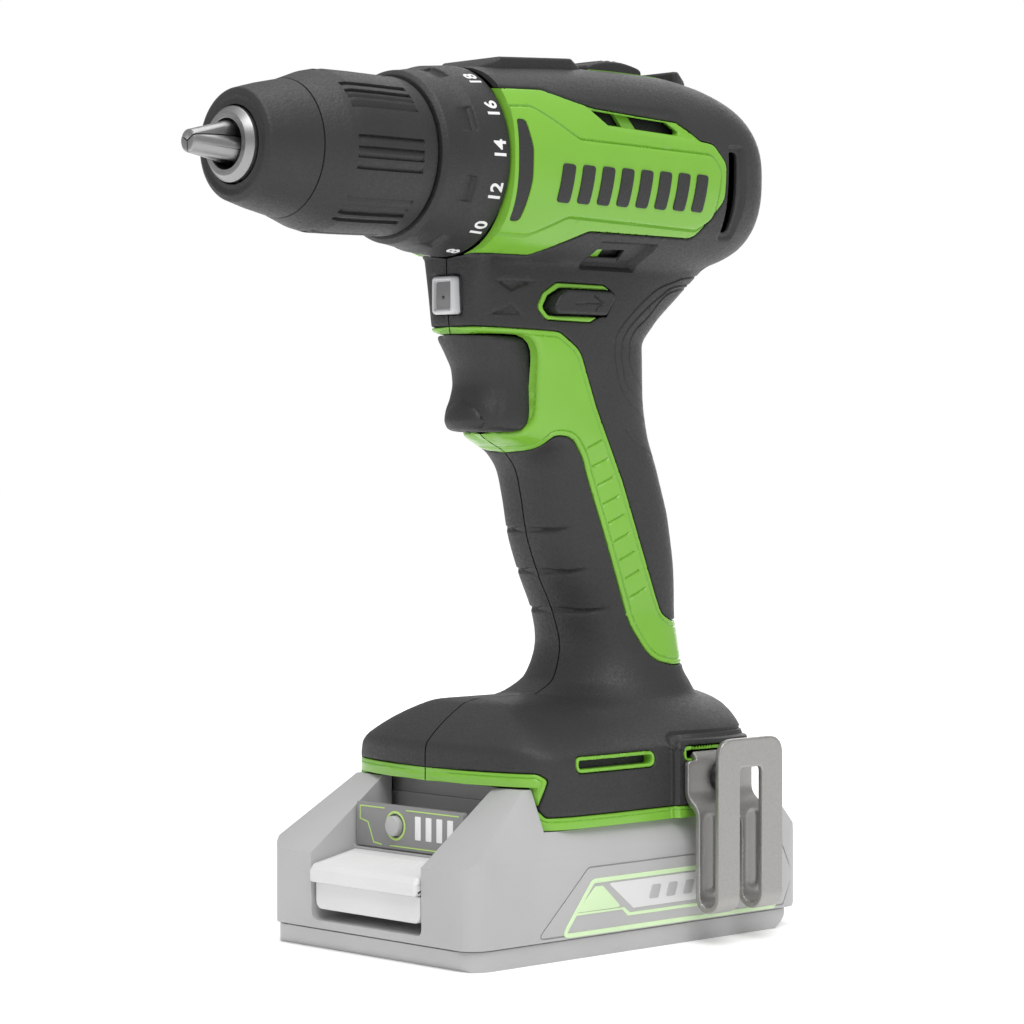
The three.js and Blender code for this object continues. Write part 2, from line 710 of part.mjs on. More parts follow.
// A bent strip of even thickness along [y, z] points.
function bentStrip(points, thick, x0, x1) {
  const normals = points.map((p, i) => {
    const a = points[Math.max(0, i - 1)];
    const b = points[Math.min(points.length - 1, i + 1)];
    return new THREE.Vector2(b[1] - a[1], a[0] - b[0]).normalize();
  });
  const offset = (side) =>
    points.map(([y, z], i) => new THREE.Vector2(y + normals[i].x * side, z + normals[i].y * side));
  const outline = [...offset(thick / 2), ...offset(-thick / 2).reverse()];
  return extrudeAlong(new THREE.Shape(outline), "x", x0, x1, 2);
}

function beltClip() {
  const bend = Array.from({ length: 7 }, (_, i) => {
    const a = (i / 6) * Math.PI;
    return [-47 + 3.4 * Math.cos(a), 12.4 - 3.4 * Math.sin(a)];
  });
  const tab = [[-39.7, 47.6], [-39.7, 37.4], [-40.4, 36.2], [-42.8, 34.9], [-43.6, 33.6]];
  const path = [...tab, ...bend, [-50.4, 53]];
  const [s0, s1] = CLIP.slot;
  return cut(
    bentStrip(path, CLIP.thick, ...CLIP.x),
    box([s0, -60, 0], [s1, -48, 45.4]),
    box([s0, -60, 0], [s1, -41, 33]),
    post("y", CLIP.screw, 2, -44, -36, 14),
  );
}

// The flat pads on both sides of the foot that the clip screws to.
const PAD = { x: [9.4, 43], z: [36.8, 48.4], face: 38.6 };
function clipPads() {
  return [-1, 1].map((side) => {
    const yLow = side < 0 ? -PAD.face : 35.2;
    const yHigh = side < 0 ? -35.2 : PAD.face;
    return roundedBox([PAD.x[0], yLow, PAD.z[0]], [PAD.x[1], yHigh, PAD.z[1]], 2);
  });
}

// ---------------------------------------------------------------- battery
const CASE_WALL = 2.4;
// Side outline of the upper case, up to its rails.
const PACK = [
  [-60.4, BATTERY_SEAM_Z + GAP], [-60.8, 9], [-BATTERY_HALF_X, 24.4], [-36.4, 42.4], [-33.4, 42.4],
  [-33.4, 32], [55.4, 32], [BATTERY_HALF_X, 20.6], [BATTERY_HALF_X, 8.4], [57, BATTERY_SEAM_Z + GAP],
];

// The case's space: its walls are CASE_WALL thick.
const PACK_HOLLOW = [
  [-44, 0], [-44, 22.6], [-32, 22.6], [-32, 29.4], [52.4, 29.4], [58.6, 19.8], [58.6, 0],
];

// A side outline across the pack, with the pack's rounded upright corners.
function packForm(points, half, corner) {
  const plan = roundedBox([-half.x, -half.y, -5], [half.x, half.y, 60], corner, "z", 4);
  return sideProfile(points, -half.y, half.y).intersect(plan);
}

const RAIL_SLOTS = [-13, -6.5, 0, 6.5, 13];

function packTop() {
  const rails = union(
    box([-31, -26.4, 31], [42, 26.4, 38]),
    box([-30, -24, 37.5], [41, 24, 41.6]),
  );
  const outer = packForm(PACK, { x: BATTERY_HALF_X, y: BATTERY_HALF_Y }, 8);
  const hollow = packForm(
    PACK_HOLLOW, { x: BATTERY_HALF_X - CASE_WALL, y: BATTERY_HALF_Y - CASE_WALL }, 6);
  return cut(
    union(outer, rails),
    hollow,
    box([-70, -20.8, 6.6], [-46.6, 20.8, 60]), // recess for the release button
    box([-46.8, -20.8, 25], [-33, 20.8, 60]),
    ...RAIL_SLOTS.map((y) => box([-16, y - 1.3, 37], [50, y + 1.3, 50])),
  );
}

function packBottom() {
  const outline = [
    [-58.4, 0], [-60.2, 2], [-60.3, BATTERY_SEAM_Z], [57.2, BATTERY_SEAM_Z], [56.8, 4], [50, 0],
  ];
  const floor = sideProfile(outline, -BATTERY_TRAY_HALF, BATTERY_TRAY_HALF);
  return cut(
    floor.intersect(roundedBox([-60.3, -BATTERY_TRAY_HALF, -1], [58, BATTERY_TRAY_HALF, 9], 8, "z", 4)),
    box([-43, -34, CASE_WALL], [53, 34, 20]),
  );
}

const releaseButton = () =>
  union(
    sideProfile([[-61.4, 9.8], [-61.4, 17.4], [-50, 17.4], [-50, 9.8]], -19.8, 19.8),
    sideProfile([[-62.4, 17], [-62.4, 20.6], [-61.4, 21.8], [-47.2, 24.6], [-47.2, 17]], -20.2, 20.2),
  );

const GAUGE_BUTTON = { y: 5, z: 31.4 };
const gaugePanel = () =>
  cut(box([-46.2, -20.2, 25.4], [-44.6, 20.2, 36.6]), gaugeHole());
const gaugeHole = () => rod(-50, -40, 3, 16).translate([0, GAUGE_BUTTON.y, GAUGE_BUTTON.z]);
const gaugeButton = () => rod(-48, -45.2, 2.6, 16).translate([0, GAUGE_BUTTON.y, GAUGE_BUTTON.z]);

// ---------------------------------------------------------------- the scene graph
const drill = new THREE.Group();
const axisGroup = new THREE.Group(); // everything on the spindle's axis
axisGroup.position.z = AXIS_Z;
drill.add(axisGroup);

function add(parent, name, manifold, material) {
  const mesh = new THREE.Mesh(geometryOf(manifold), material);
  mesh.name = name;
  parent.add(mesh);
  return mesh;
}

// chuck
add(axisGroup, "chuck_body", chuckBody(), STEEL());
add(axisGroup, "chuck_screw", union(rod(-75.4, -73.3, 3.1, 12), rod(-73.5, -62, 2, 12)), DARK_STEEL());
JAW_TURNS.forEach((t, i) => add(axisGroup, `chuck_jaw_${i + 1}`, jaw(t), STEEL()));
add(axisGroup, "jaw_nut", tube(-84, -78, 13.2, 14.9, 24), DARK_STEEL());
add(axisGroup, "chuck_nose_cap", noseCap(), NYLON());
add(axisGroup, "chuck_sleeve", sleeve(), NYLON());

// gearbox
add(axisGroup, "spindle", spindle(), STEEL());
add(axisGroup, "spindle_bearing", tube(-50, -44, 6.3, 10.1, 16), STEEL());
add(axisGroup, "gearbox_housing", gearcase(), DARK_STEEL());
add(axisGroup, "shift_ring_gear", ringGear(...STAGE_2.ring, RING_R), STEEL());
add(axisGroup, "fixed_ring_gear", ringGear(...STAGE_1.ring, RING_R - 0.1), STEEL());
add(axisGroup, "first_carrier", carrier(), STEEL());
[[STAGE_2, "second"], [STAGE_1, "first"]].forEach(([stage, label]) =>
  PLANET_ANGLES.forEach((a, i) => {
    const gear = add(axisGroup, `${label}_planet_${i + 1}`, planet(stage), STEEL());
    const [y, z] = orbit(a);
    gear.position.set(0, y, z);
    gear.rotation.x = a;
  }),
);
add(axisGroup, "motor_plate", tube(-3, -1, 6, 21, 20), DARK_STEEL());

// clutch
add(axisGroup, "torque_collar", collar(), NYLON());
add(axisGroup, "clutch_spring", coil(-45.4, -33.4, 16.2, 1.1, 3.5), DARK_STEEL());
add(axisGroup, "spring_plate", springPlate(), DARK_STEEL());

// motor
add(axisGroup, "motor_can", motorCan(), DARK_STEEL());
add(axisGroup, "motor_end_cap", endCap(), BLACK());
add(axisGroup, "motor_rotor", rotor(), COPPER());
add(axisGroup, "commutator", commutator(), BRASS());
add(axisGroup, "motor_shaft", motorShaft(), STEEL());
add(axisGroup, "motor_fan", fan(), PALE());

// housing
for (const [name, side] of [["left", -1], ["right", 1]]) {
  add(drill, `housing_${name}`, shellHalf(side), GREEN());
  add(drill, `upper_overmould_${name}`, rubber(side, UPPER_REGION), BLACK());
  add(drill, `lower_overmould_${name}`, rubber(side, LOWER_REGION), BLACK());
}
SCREWS.forEach(([x, z], i) => {
  const headY = SCREW_HEAD_Y[i];
  const screw = union(
    post("y", [x, z], 1.5, SCREW_TIP_Y, headY + 0.6, 8),
    post("y", [x, z], 3.1, headY + 0.3, headY + 2.4, 12),
  );
  add(drill, `housing_screw_${i + 1}`, screw, DARK_STEEL());
});

// controls
add(drill, "trigger", trigger(), NYLON());
add(drill, "switch_module", switchModule(), BLACK());
add(drill, "direction_button", directionButton(), NYLON());
add(drill, "speed_selector", speedSelector(), NYLON());
add(drill, "lamp_lens", lampLens(), CLEAR());

// foot
add(drill, "terminal_block", terminalBlock(), BLACK());
add(drill, "belt_clip", beltClip(), STEEL());
const clipScrewHead = post("y", CLIP.screw, 4.2, -43.6, -40.8, 16);
const clipScrewShank = post("y", CLIP.screw, 1.6, -41, -33, 10);
add(drill, "belt_clip_screw", union(clipScrewHead, clipScrewShank), DARK_STEEL());

// battery
add(drill, "battery_top_case", packTop(), PALE());
add(drill, "battery_bottom_case", packBottom(), PALE());
add(drill, "battery_release_button", releaseButton(), LIGHT());
add(drill, "gauge_panel", gaugePanel(), BLACK());
add(drill, "gauge_button", gaugeButton(), PALE());
const cellR = 9;
[[-30, 12.2], [-11, 12.2], [8, 12.2], [27, 12.2], [46, 12.2]].forEach(([x, z], i) =>
  add(drill, `cell_${i + 1}`, post("y", [x, z], cellR, -32, 32, 16), CELL()));
add(drill, "battery_board", box([-30, -30, 24], [50, 30, 25.6]), BOARD());

export default drill;
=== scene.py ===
"""Looks of the cordless drill: fine surfaces, materials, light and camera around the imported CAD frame.

Shapes are worked out in millimetres in the part's own frame (+Z up, chuck towards -X, left side -Y) and
turned into metres when a mesh is made. Left-side shapes are mirrored for the right side.
"""
import json
import math

import bmesh
import bpy
import numpy as np
from mathutils import Matrix, Vector
from mathutils.geometry import delaunay_2d_cdt


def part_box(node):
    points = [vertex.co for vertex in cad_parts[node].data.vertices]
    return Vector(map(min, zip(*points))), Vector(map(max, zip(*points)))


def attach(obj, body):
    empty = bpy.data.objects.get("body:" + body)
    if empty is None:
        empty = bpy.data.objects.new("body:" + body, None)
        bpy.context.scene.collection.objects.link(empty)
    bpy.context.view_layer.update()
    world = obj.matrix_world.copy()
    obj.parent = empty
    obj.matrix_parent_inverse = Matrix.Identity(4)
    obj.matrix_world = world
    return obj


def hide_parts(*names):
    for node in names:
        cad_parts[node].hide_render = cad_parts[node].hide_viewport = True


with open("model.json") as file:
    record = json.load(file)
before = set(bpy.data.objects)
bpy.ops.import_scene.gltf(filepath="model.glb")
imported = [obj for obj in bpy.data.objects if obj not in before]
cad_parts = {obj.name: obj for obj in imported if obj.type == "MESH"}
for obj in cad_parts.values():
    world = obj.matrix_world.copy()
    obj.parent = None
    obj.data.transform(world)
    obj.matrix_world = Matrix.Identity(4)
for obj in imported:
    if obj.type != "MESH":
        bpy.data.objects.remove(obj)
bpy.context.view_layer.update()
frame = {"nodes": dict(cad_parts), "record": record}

MM = 0.001


# ---------------------------------------------------------------- places taken from the frame
def cad(node):
    """A CAD node's lowest and highest corner in millimetres."""
    low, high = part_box(node)
    return np.array(low) / MM, np.array(high) / MM


SLEEVE_LOW, SLEEVE_HIGH = cad("chuck_sleeve")
AXIS_Z = (SLEEVE_LOW[2] + SLEEVE_HIGH[2]) / 2
CAP_LOW, CAP_HIGH = cad("chuck_nose_cap")
COLLAR_LOW, COLLAR_HIGH = cad("torque_collar")
BODY_LOW = cad("housing_left")[0]
JAW_TIP_X = cad("chuck_jaw_1")[0][0]
CHUCK_LOW = cad("chuck_body")[0]
PACK_LOW, PACK_HIGH = cad("battery_top_case")
PACK_SEAM_Z = cad("battery_bottom_case")[1][2]

SEAM = 0.2  # each half of the body stops this far from the middle plane
FRONT_X = -33.2  # front of the barrel
FOOT_BOTTOM = BODY_LOW[2]


# ---------------------------------------------------------------- curves and outlines
def curve(points):
    """A smooth function through (u, v) points with no overshoot between them."""
    u, v = np.array(sorted(points), float).T
    step, slope = np.diff(u), np.diff(v) / np.diff(u)
    w1, w2 = 2 * step[1:] + step[:-1], step[1:] + 2 * step[:-1]
    same = slope[1:] * slope[:-1] > 0
    safe = np.where(same, slope[:-1], 1), np.where(same, slope[1:], 1)
    inner = np.where(same, (w1 + w2) / (w1 / safe[0] + w2 / safe[1]), 0)
    tangent = np.concatenate([slope[:1], inner, slope[-1:]])

    def at(x):
        x = np.clip(np.asarray(x, float), u[0], u[-1])
        i = np.clip(np.searchsorted(u, x) - 1, 0, len(step) - 1)
        t, h = (x - u[i]) / step[i], step[i]
        return (
            v[i] * (1 + 2 * t) * (1 - t) ** 2
            + tangent[i] * h * t * (1 - t) ** 2
            + v[i + 1] * t * t * (3 - 2 * t)
            + tangent[i + 1] * h * t * t * (t - 1)
        )

    return at


def rounded(points, radius, steps=6):
    """A closed outline with its corners rounded; a point may give its own radius as a third number."""
    corners = [(np.array(p[:2], float), p[2] if len(p) > 2 else radius) for p in points]
    out = []
    for i, (here, r) in enumerate(corners):
        before, after = corners[i - 1][0], corners[(i + 1) % len(corners)][0]
        a, b = before - here, after - here
        la, lb = np.linalg.norm(a), np.linalg.norm(b)
        a, b = a / la, b / lb
        half = math.acos(np.clip(a @ b, -1, 1)) / 2
        reach = min(r / math.tan(half), la * 0.49, lb * 0.49) if half > 1e-3 else 0
        if r < 1e-6 or abs(half - math.pi / 2) < 0.02:
            out.append(here)
            continue
        start, end = here + a * reach, here + b * reach
        for t in np.linspace(0, 1, steps):
            out.append((1 - t) ** 2 * start + 2 * t * (1 - t) * here + t * t * end)
    return np.array(out)


def resample(line, step, closed=True):
    """The same line with no edge longer than step."""
    line = np.asarray(line, float)
    ends = np.roll(line, -1, axis=0) if closed else line[1:]
    out = []
    for a, b in zip(line, ends):
        n = max(1, math.ceil(np.linalg.norm(b - a) / step))
        out += [a + (b - a) * k / n for k in range(n)]
    if not closed:
        out.append(line[-1])
    return np.array(out)


def area_of(line):
    """The signed area inside a closed outline, positive when it runs anticlockwise."""
    x, z = line.T
    return (x * np.roll(z, -1) - z * np.roll(x, -1)).sum() / 2


def normals_of(line, closed=True):
    """Unit normals of a line's points, outwards on a closed line."""
    if closed:
        along = np.roll(line, -1, axis=0) - np.roll(line, 1, axis=0)
    else:
        along = np.gradient(line, axis=0)
    along = along / np.maximum(np.linalg.norm(along, axis=1, keepdims=True), 1e-9)
    out = np.stack([along[:, 1], -along[:, 0]], 1)
    return out * (np.sign(area_of(line)) if closed else 1)


def grown(line, distance):
    """A closed outline moved outwards by distance, inwards if negative."""
    a = line - np.roll(line, 1, axis=0)
    b = np.roll(line, -1, axis=0) - line
    a /= np.maximum(np.linalg.norm(a, axis=1, keepdims=True), 1e-9)
    b /= np.maximum(np.linalg.norm(b, axis=1, keepdims=True), 1e-9)
    side = np.sign(area_of(line))
    na, nb = np.stack([a[:, 1], -a[:, 0]], 1), np.stack([b[:, 1], -b[:, 0]], 1)
    middle = na + nb
    middle /= np.maximum(np.linalg.norm(middle, axis=1, keepdims=True), 1e-9)
    reach = side * distance / np.maximum(0.6, (middle * nb).sum(1, keepdims=True))
    return line + middle * reach


def inside(points, line):
    """Which points lie inside a closed outline."""
    result = np.zeros(len(points), bool)
    near = np.flatnonzero(np.all((points >= line.min(0)) & (points <= line.max(0)), axis=1))
    x, z = points[near].T
    odd = np.zeros(len(near), bool)
    for (x1, z1), (x2, z2) in zip(line, np.roll(line, -1, axis=0)):
        if z1 != z2:
            odd ^= ((z1 > z) != (z2 > z)) & (x < x1 + (z - z1) * (x2 - x1) / (z2 - z1))
    result[near] = odd
    return result


def distance(points, line, closed=True, reach=1e9):
    """Distance from each point to a line, and how far along it the nearest place is (0 to 1).

    Points farther away than reach are left out of the search and get a large distance.
    """
    line = np.asarray(line, float)
    a = line if closed else line[:-1]
    b = np.roll(line, -1, axis=0) if closed else line[1:]
    order = np.argsort(points[:, 0])
    sorted_points = points[order]
    far, along = np.full(len(points), 1e9), np.zeros(len(points))
    for k in range(len(a)):
        first = np.searchsorted(sorted_points[:, 0], min(a[k][0], b[k][0]) - reach)
        last = np.searchsorted(sorted_points[:, 0], max(a[k][0], b[k][0]) + reach)
        near = sorted_points[first:last]
        d = b[k] - a[k]
        t = np.clip(((near - a[k]) @ d) / max(d @ d, 1e-12), 0, 1)
        gap = np.hypot(*(near - a[k] - t[:, None] * d).T)
        closer = gap < far[first:last]
        far[first:last][closer] = gap[closer]
        along[first:last][closer] = (k + t[closer]) / len(a)
    back = np.empty(len(points), int)
    back[order] = np.arange(len(points))
    return far[back], along[back]


def ease(t):
    """A smooth step from 0 to 1, level at both ends."""
    t = np.clip(t, 0, 1)
    return t * t * (3 - 2 * t)


# ---------------------------------------------------------------- outer form of the body (side view x, z)
TOP = curve([(FRONT_X, 224.2), (-20, 225.3), (0, 226.6), (20, 227.0), (34, 226.8), (44, 225.6), (52, 223.6),
             (58, 221.4), (62.5, 218.8), (67.5, 214.4), (70.6, 209.8), (72.4, 204)])
BOTTOM = curve([(FRONT_X, 175.6), (-20, 174.2), (10, 173.6), (30, 173.8), (50, 175.2), (60.7, 177.8),
                (67.6, 182.8), (70.8, 187.5), (72.4, 193)])
BARREL_HALF = curve([(FRONT_X, 24.8), (-20, 26.6), (30, 27), (46, 26.4), (72.4, 26.4)])
REAR_X, DOME_X, DOME_POWER = 72.4, 44, 2.3
GRIP_FRONT = curve([(60, -10), (62.9, -1.4), (66.7, 5), (75.2, 7.4), (83.8, 4.9), (94.6, -0.7), (105.2, -4.9),
                    (115, -6.9), (121.2, -8.6), (126, -12.4), (131, -21.5), (147, -28), (158, -32.2),
                    (168, -33), (178, FRONT_X)])
GRIP_REAR = curve([(60, 48.6), (64, 46), (69, 43.2), (80.6, 42.3), (93, 42.8), (107.8, 40.9), (118.7, 37.3),
                   (129, 33.9), (142, 32), (154, 32.1), (160, 37), (167.5, 46.6), (173, 54), (178.4, 61.5)])
GRIP_HALF = curve([(60, 25), (63, 23), (69, 20), (76, 18.2), (85, 17), (150, 17), (160, 16.6), (168, 16),
                   (178, 15), (188, 6), (194, 0.1)])
RIDGE_Z = 62.9
FOOT_HALF = curve([(FOOT_BOTTOM, 37.5), (46, 37.5), (49, 37.3), (50.6, 36.4), (52, 34.2), (61.4, 15.8),
                   (62.1, 13.4), (62.7, 8), (RIDGE_Z, 0)])
FOOT_HALF_REAR = curve([(FOOT_BOTTOM, 37.5), (46, 37.5), (50, 37.2), (53.6, 35.4), (57.5, 29.5), (60.2, 22.5),
                        (61.9, 15), (62.7, 8), (RIDGE_Z, 0)])
FOOT_FRONT = curve([(FOOT_BOTTOM, -40.6), (50, -40.6), (52.4, -40.1), (53.8, -38.8), (61.2, -28.4),
                    (62.2, -26.2), (RIDGE_Z, -22)])
FOOT_REAR = curve([(FOOT_BOTTOM, 51), (46.6, 50.8), (54, 50.2), (59.5, 49.4), (RIDGE_Z, 47.4)])
NOSE_HALF = curve([(156.3, 7.8), (165, 8.6), (178, 10.6)])  # the squarer front above the trigger
OVERHANG = (-33, 43)  # the foot's front part stops at this height, ahead of this x
BARREL_POWER, GRIP_POWER, JOIN_POWER = 2.5, 2.4, 6
BOW_DEPTH, BOW_HALF = 6.5, 34  # the foot's ends are bowed by this much over this half width


def oval(share, power):
    """How wide an oval of width 1 is at a share of its reach; a higher power gives a squarer oval."""
    return np.clip(1 - np.abs(share) ** power, 0, 1) ** (1 / power)


def barrel_half(x, z):
    """Half the barrel's width at a place in the side view, 0 outside it."""
    reach = np.where(z > AXIS_Z, TOP(x) - AXIS_Z, AXIS_Z - BOTTOM(x))
    dome = oval(np.clip((x - DOME_X) / (REAR_X - DOME_X), 0, 1), DOME_POWER)
    return np.where(x < FRONT_X - 1e-6, 0, BARREL_HALF(x) * dome * oval((z - AXIS_Z) / reach, BARREL_POWER))


def grip_half(x, z):
    """Half the grip's width at a place in the side view, 0 outside it."""
    front, rear = GRIP_FRONT(z), GRIP_REAR(z)
    share = (x - (front + rear) / 2) / ((rear - front) / 2)
    return np.where(z < 50, 0, GRIP_HALF(z) * oval(share, GRIP_POWER))


def nose_half(x, z):
    """Half the width of the nose over the trigger, 0 outside its heights."""
    depth = x - GRIP_FRONT(z)
    half = NOSE_HALF(z) * oval(1 - np.clip(depth / 2.4, 0, 1), 2.4) * ease((12 - depth) / 8)
    return np.where((z > 156.3) & (z < 182), half, 0)


def foot_half(x, z):
    """Half the foot's width at a place in the side view, 0 above its ridge."""
    bow = lambda d: BOW_HALF * np.sqrt(np.clip(d, 0, None) / BOW_DEPTH) + 1e-6
    rearward = ease((x - 2) / 30)
    across = FOOT_HALF(z) * (1 - rearward) + FOOT_HALF_REAR(z) * rearward
    sides = [across + 1e-6, bow(x - FOOT_FRONT(z)), bow(FOOT_REAR(z) - x)]
    half = sum(np.asarray(s * 1.0) ** -JOIN_POWER for s in sides) ** (-1 / JOIN_POWER)
    return np.where(z > RIDGE_Z, 0, half)


def half_width(x, z):
    """Half the body's width at a place in the side view."""
    parts = barrel_half(x, z), grip_half(x, z), foot_half(x, z), nose_half(x, z)
    return sum(p ** JOIN_POWER for p in parts) ** (1 / JOIN_POWER)


def silhouette():
    """The body's side outline, and which of its stretches close on the middle plane."""
    xs = np.linspace(FRONT_X, REAR_X, 90)
    top = np.stack([xs, TOP(xs)], 1)
    under = np.stack([xs, BOTTOM(xs)], 1)[::-1]
    under = under[under[:, 0] > GRIP_REAR(under[:, 1])]
    zs = np.linspace(under[-1][1] - 0.4, FOOT_BOTTOM, 150)
    foot_or_grip = np.maximum(FOOT_REAR(zs), GRIP_REAR(zs) * (zs > 60))
    rear = np.stack([np.where(zs < RIDGE_Z, foot_or_grip, GRIP_REAR(zs)), zs], 1)
    step_x, step_z = OVERHANG
    low = np.array([[step_x, FOOT_BOTTOM], [step_x, step_z]])
    zf = np.linspace(step_z, RIDGE_Z, 26)
    nose = np.stack([FOOT_FRONT(zf), zf], 1)
    zg = np.linspace(RIDGE_Z, BOTTOM(FRONT_X), 110)
    grip = np.stack([GRIP_FRONT(zg), zg], 1)
    closing = [top, under, rear, nose, np.array([nose[-1], grip[0]]), grip,
               np.array([top[-1], under[0]])]
    outline = np.concatenate([top, under, rear, low, nose, grip, [[FRONT_X, BOTTOM(FRONT_X)]]])
    keep = np.hypot(*(outline - np.roll(outline, 1, axis=0)).T) > 1e-6
    return outline[keep], closing


# ---------------------------------------------------------------- outlines of the body's areas (x, z)
FAR = 90
PANEL = rounded([(-60, 217.2), (-20.8, 218.1, 5), (-10.2, 215.4, 4), (-3.7, 214.6), (26.2, 213.2, 2),
                 (33, 208.2, 2), (38.7, 207.6, 4), (43.7, 202.7, 4), (43.3, 193, 5), (34.3, 182.4, 5),
                 (-4.4, 182.6, 5), (-18.8, 176.2, 5), (-60, 176.8)], 3)
PLATEAU = rounded([(-60, 211.8), (-26.5, 213.2, 5), (-11.6, 205.6, 5), (37.6, 204.6, 4), (41.6, 200.6, 4),
                   (39.4, 187.6, 4), (34, 184.6, 3), (-13.6, 185.9, 5), (-24.4, 180.9, 4), (-60, 181.4)], 3)
STRIPE = rounded([(-60, 159.3), (-27.5, 158.2, 20), (-8.8, 157.3, 5), (-1.8, 152.6, 8), (4, 138.2, 30),
                  (13.7, 119), (26.5, 88.2, 20), (28.9, 83.6, 4), (33.4, 81.6, 5), (FAR, 80.6), (FAR, 70.2),
                  (31, 70, 10), (22.6, 71.6, 10), (17.2, 80.5, 20), (0.4, 124.8, 12), (-4.2, 130.2, 6),
                  (-9.8, 130.6, 3), (-11.6, 126.0, 3), (-16.4, 126.0, 4), (-22.4, 129.6, 4), (-60, 129.9)], 4)
TRIM = rounded([(-60, 20), (-60, 46.4), (-33.2, 46.4, 2), (-31, 44.8, 1.5), (-33.2, 37.4, 1.5),
                (-31.6, 35.4, 1.2), (FAR, 35.4), (FAR, 20)], 1)
TRIGGER_WINDOW = rounded([(-60, 130.9), (-15.2, 130.9, 6.5), (-15.2, 156.5, 6.5), (-60, 156.5)], 1)
ARC_INLAY = rounded([(-31.9, 209.6), (-29.2, 209.5, 1.4), (-27.4, 202.5, 8), (-27.5, 194.5, 8),
                     (-29.0, 184.4, 1.4), (-31.9, 184.4)], 0.9)
SIDE_WINDOW = rounded([(-6.2, 214.2), (22.6, 212.9), (26.6, 210.3), (25.4, 209.2), (3.4, 210.2),
                       (-0.9, 210.4)], 0.7)
WINDOW_LEDGE = rounded([(-12, 216), (-8.2, 214.2), (-0.6, 208.6), (25.4, 207.6), (34, 206.9), (27, 216)], 1)
SMALL_VENT = rounded([(1.8, 175.6), (3.8, 178.8), (13.6, 179), (13.4, 175.7)], 0.5)
VENT_RECESS = rounded([(-1.4, 173.4), (1.6, 180.6), (23.4, 180.8), (19, 173.3)], 1)
REAR_SLOT = rounded([(45.4, 184.2), (48.5, 184.3), (48.8, 195), (49, 206.2), (45.4, 206.2), (44.9, 195)], 1.4)
SLOT_RECESS = rounded([(44.4, 182.4), (50.4, 182.6), (52.2, 194), (51.4, 208), (44.3, 208), (43.9, 195)], 1.6)
BUTTON_RIM = rounded([(-15.6, 163.2), (-13.2, 167.2), (-8.7, 169.9), (7.6, 169.7), (11.2, 168), (5.4, 161.4),
                      (2, 159.8), (-12.9, 160.2)], 2)
BUTTON_WELL = rounded([(-13.9, 163.4), (-11.9, 166.5), (-7.8, 168.6), (9.9, 168.5), (12.0, 167.2),
                       (8.0, 161.3), (-12.2, 161.3)], 1.2)
FOOT_SLOT = rounded([(-23.3, 46), (4.8, 46), (4.8, 50.4), (-23.3, 50.4)], 2.15)
PAD = rounded([(12.0, 30), (12.0, 52.2), (FAR, 52.2), (FAR, 30)], 3.4)
PAD_SLOT = rounded([(14.6, 46.4), (39.6, 46.4), (39.6, 50.4), (14.6, 50.4)], 1.95)
ABOVE_STRIPE = np.array([(-90, 143), (-9, 143), (10, 110), (22, 84), (30, 76), (FAR, 76), (FAR, 260),
                         (-90, 260)])
SCREWS = [((cad(f"housing_screw_{i}")[0] + cad(f"housing_screw_{i}")[1]) / 2)[[0, 2]] for i in range(1, 6)]
SCREW_WELL_R = 3.7
PARTING = 0.12  # half the gap between a green area and the cover next to it


def circle(center, r, count=28):
    """A closed outline of count points on a circle."""
    a = np.linspace(0, 2 * np.pi, count, endpoint=False)
    return np.stack([center[0] + r * np.cos(a), center[1] + r * np.sin(a)], 1)


def contour(u, limit, across):
    """Where the body's half width passes limit, going from the middle plane inwards along one direction."""
    low, high = across(u, 0.0), across(u, 14.0)
    for _ in range(40):
        mid = (low + high) / 2
        wide = half_width(*mid.T) > limit
        high, low = np.where(wide[:, None], mid, high), np.where(wide[:, None], low, mid)
    return high


SELECTOR_LOW, SELECTOR_HIGH = cad("speed_selector")
SELECTOR_TRAVEL = 8
CHANNEL = (SELECTOR_LOW[0] - 1, SELECTOR_HIGH[0] + SELECTOR_TRAVEL + 1, SELECTOR_HIGH[1] + 0.7)
LENS_LOW, LENS_HIGH = cad("lamp_lens")


def channel_notch():
    """The selector's channel cut out of the crown, as an outline that reaches above it."""
    x0, x1, half = CHANNEL
    xs = np.linspace(x0, x1, 30)
    edge = contour(xs, half, lambda x, d: np.stack([x, TOP(x) - d], 1))
    return np.concatenate([edge, [[x1, 240], [x0, 240]]])


def lamp_notch():
    """The lamp's opening in the nose, as an outline that reaches ahead of it."""
    margin, corner = 0.35, 1.6
    z0, z1, half = LENS_LOW[2] - margin, LENS_HIGH[2] + margin, LENS_HIGH[1] + margin
    zs = np.linspace(z0, z1, 41)
    near = np.clip(np.minimum(zs - z0, z1 - zs), 0, corner)
    widths = half - corner + np.sqrt(corner**2 - (corner - near) ** 2)
    on_front = lambda z, d: np.stack([GRIP_FRONT(z) + d, z], 1)
    edge = [contour(np.array([z]), width, on_front)[0] for z, width in zip(zs, widths)]
    return np.concatenate([edge, [[-60, z1], [-60, z0]]])


# ---------------------------------------------------------------- relief on the body
def groove(line, width, depth, closed=False, taper=0.0):
    """A fine cut along a line: (line, offsets for mesh points, depth as a function of distance and place)."""
    line = resample(line, 0.7, closed)
    fade = (lambda s: 1 - ease((s - 1 + taper) / taper)) if taper else (lambda s: 1.0)
    return {
        "line": line,
        "closed": closed,
        "offsets": [0, width / 2, -width / 2, width, -width],
        "height": lambda d, s: -depth * fade(s) * np.clip(1 - (d / width) ** 2, 0, 1) ** 2,
    }


def step(outline, rise, over):
    """Ground inside an outline raised by rise (sunk when negative), over a sloped edge."""
    line = resample(outline, 0.7)
    return {
        "line": line,
        "closed": True,
        "offsets": [0, -over / 3, -over * 2 / 3, -over],
        "inner": True,
        "height": lambda d, s: rise * ease(d / over),
    }


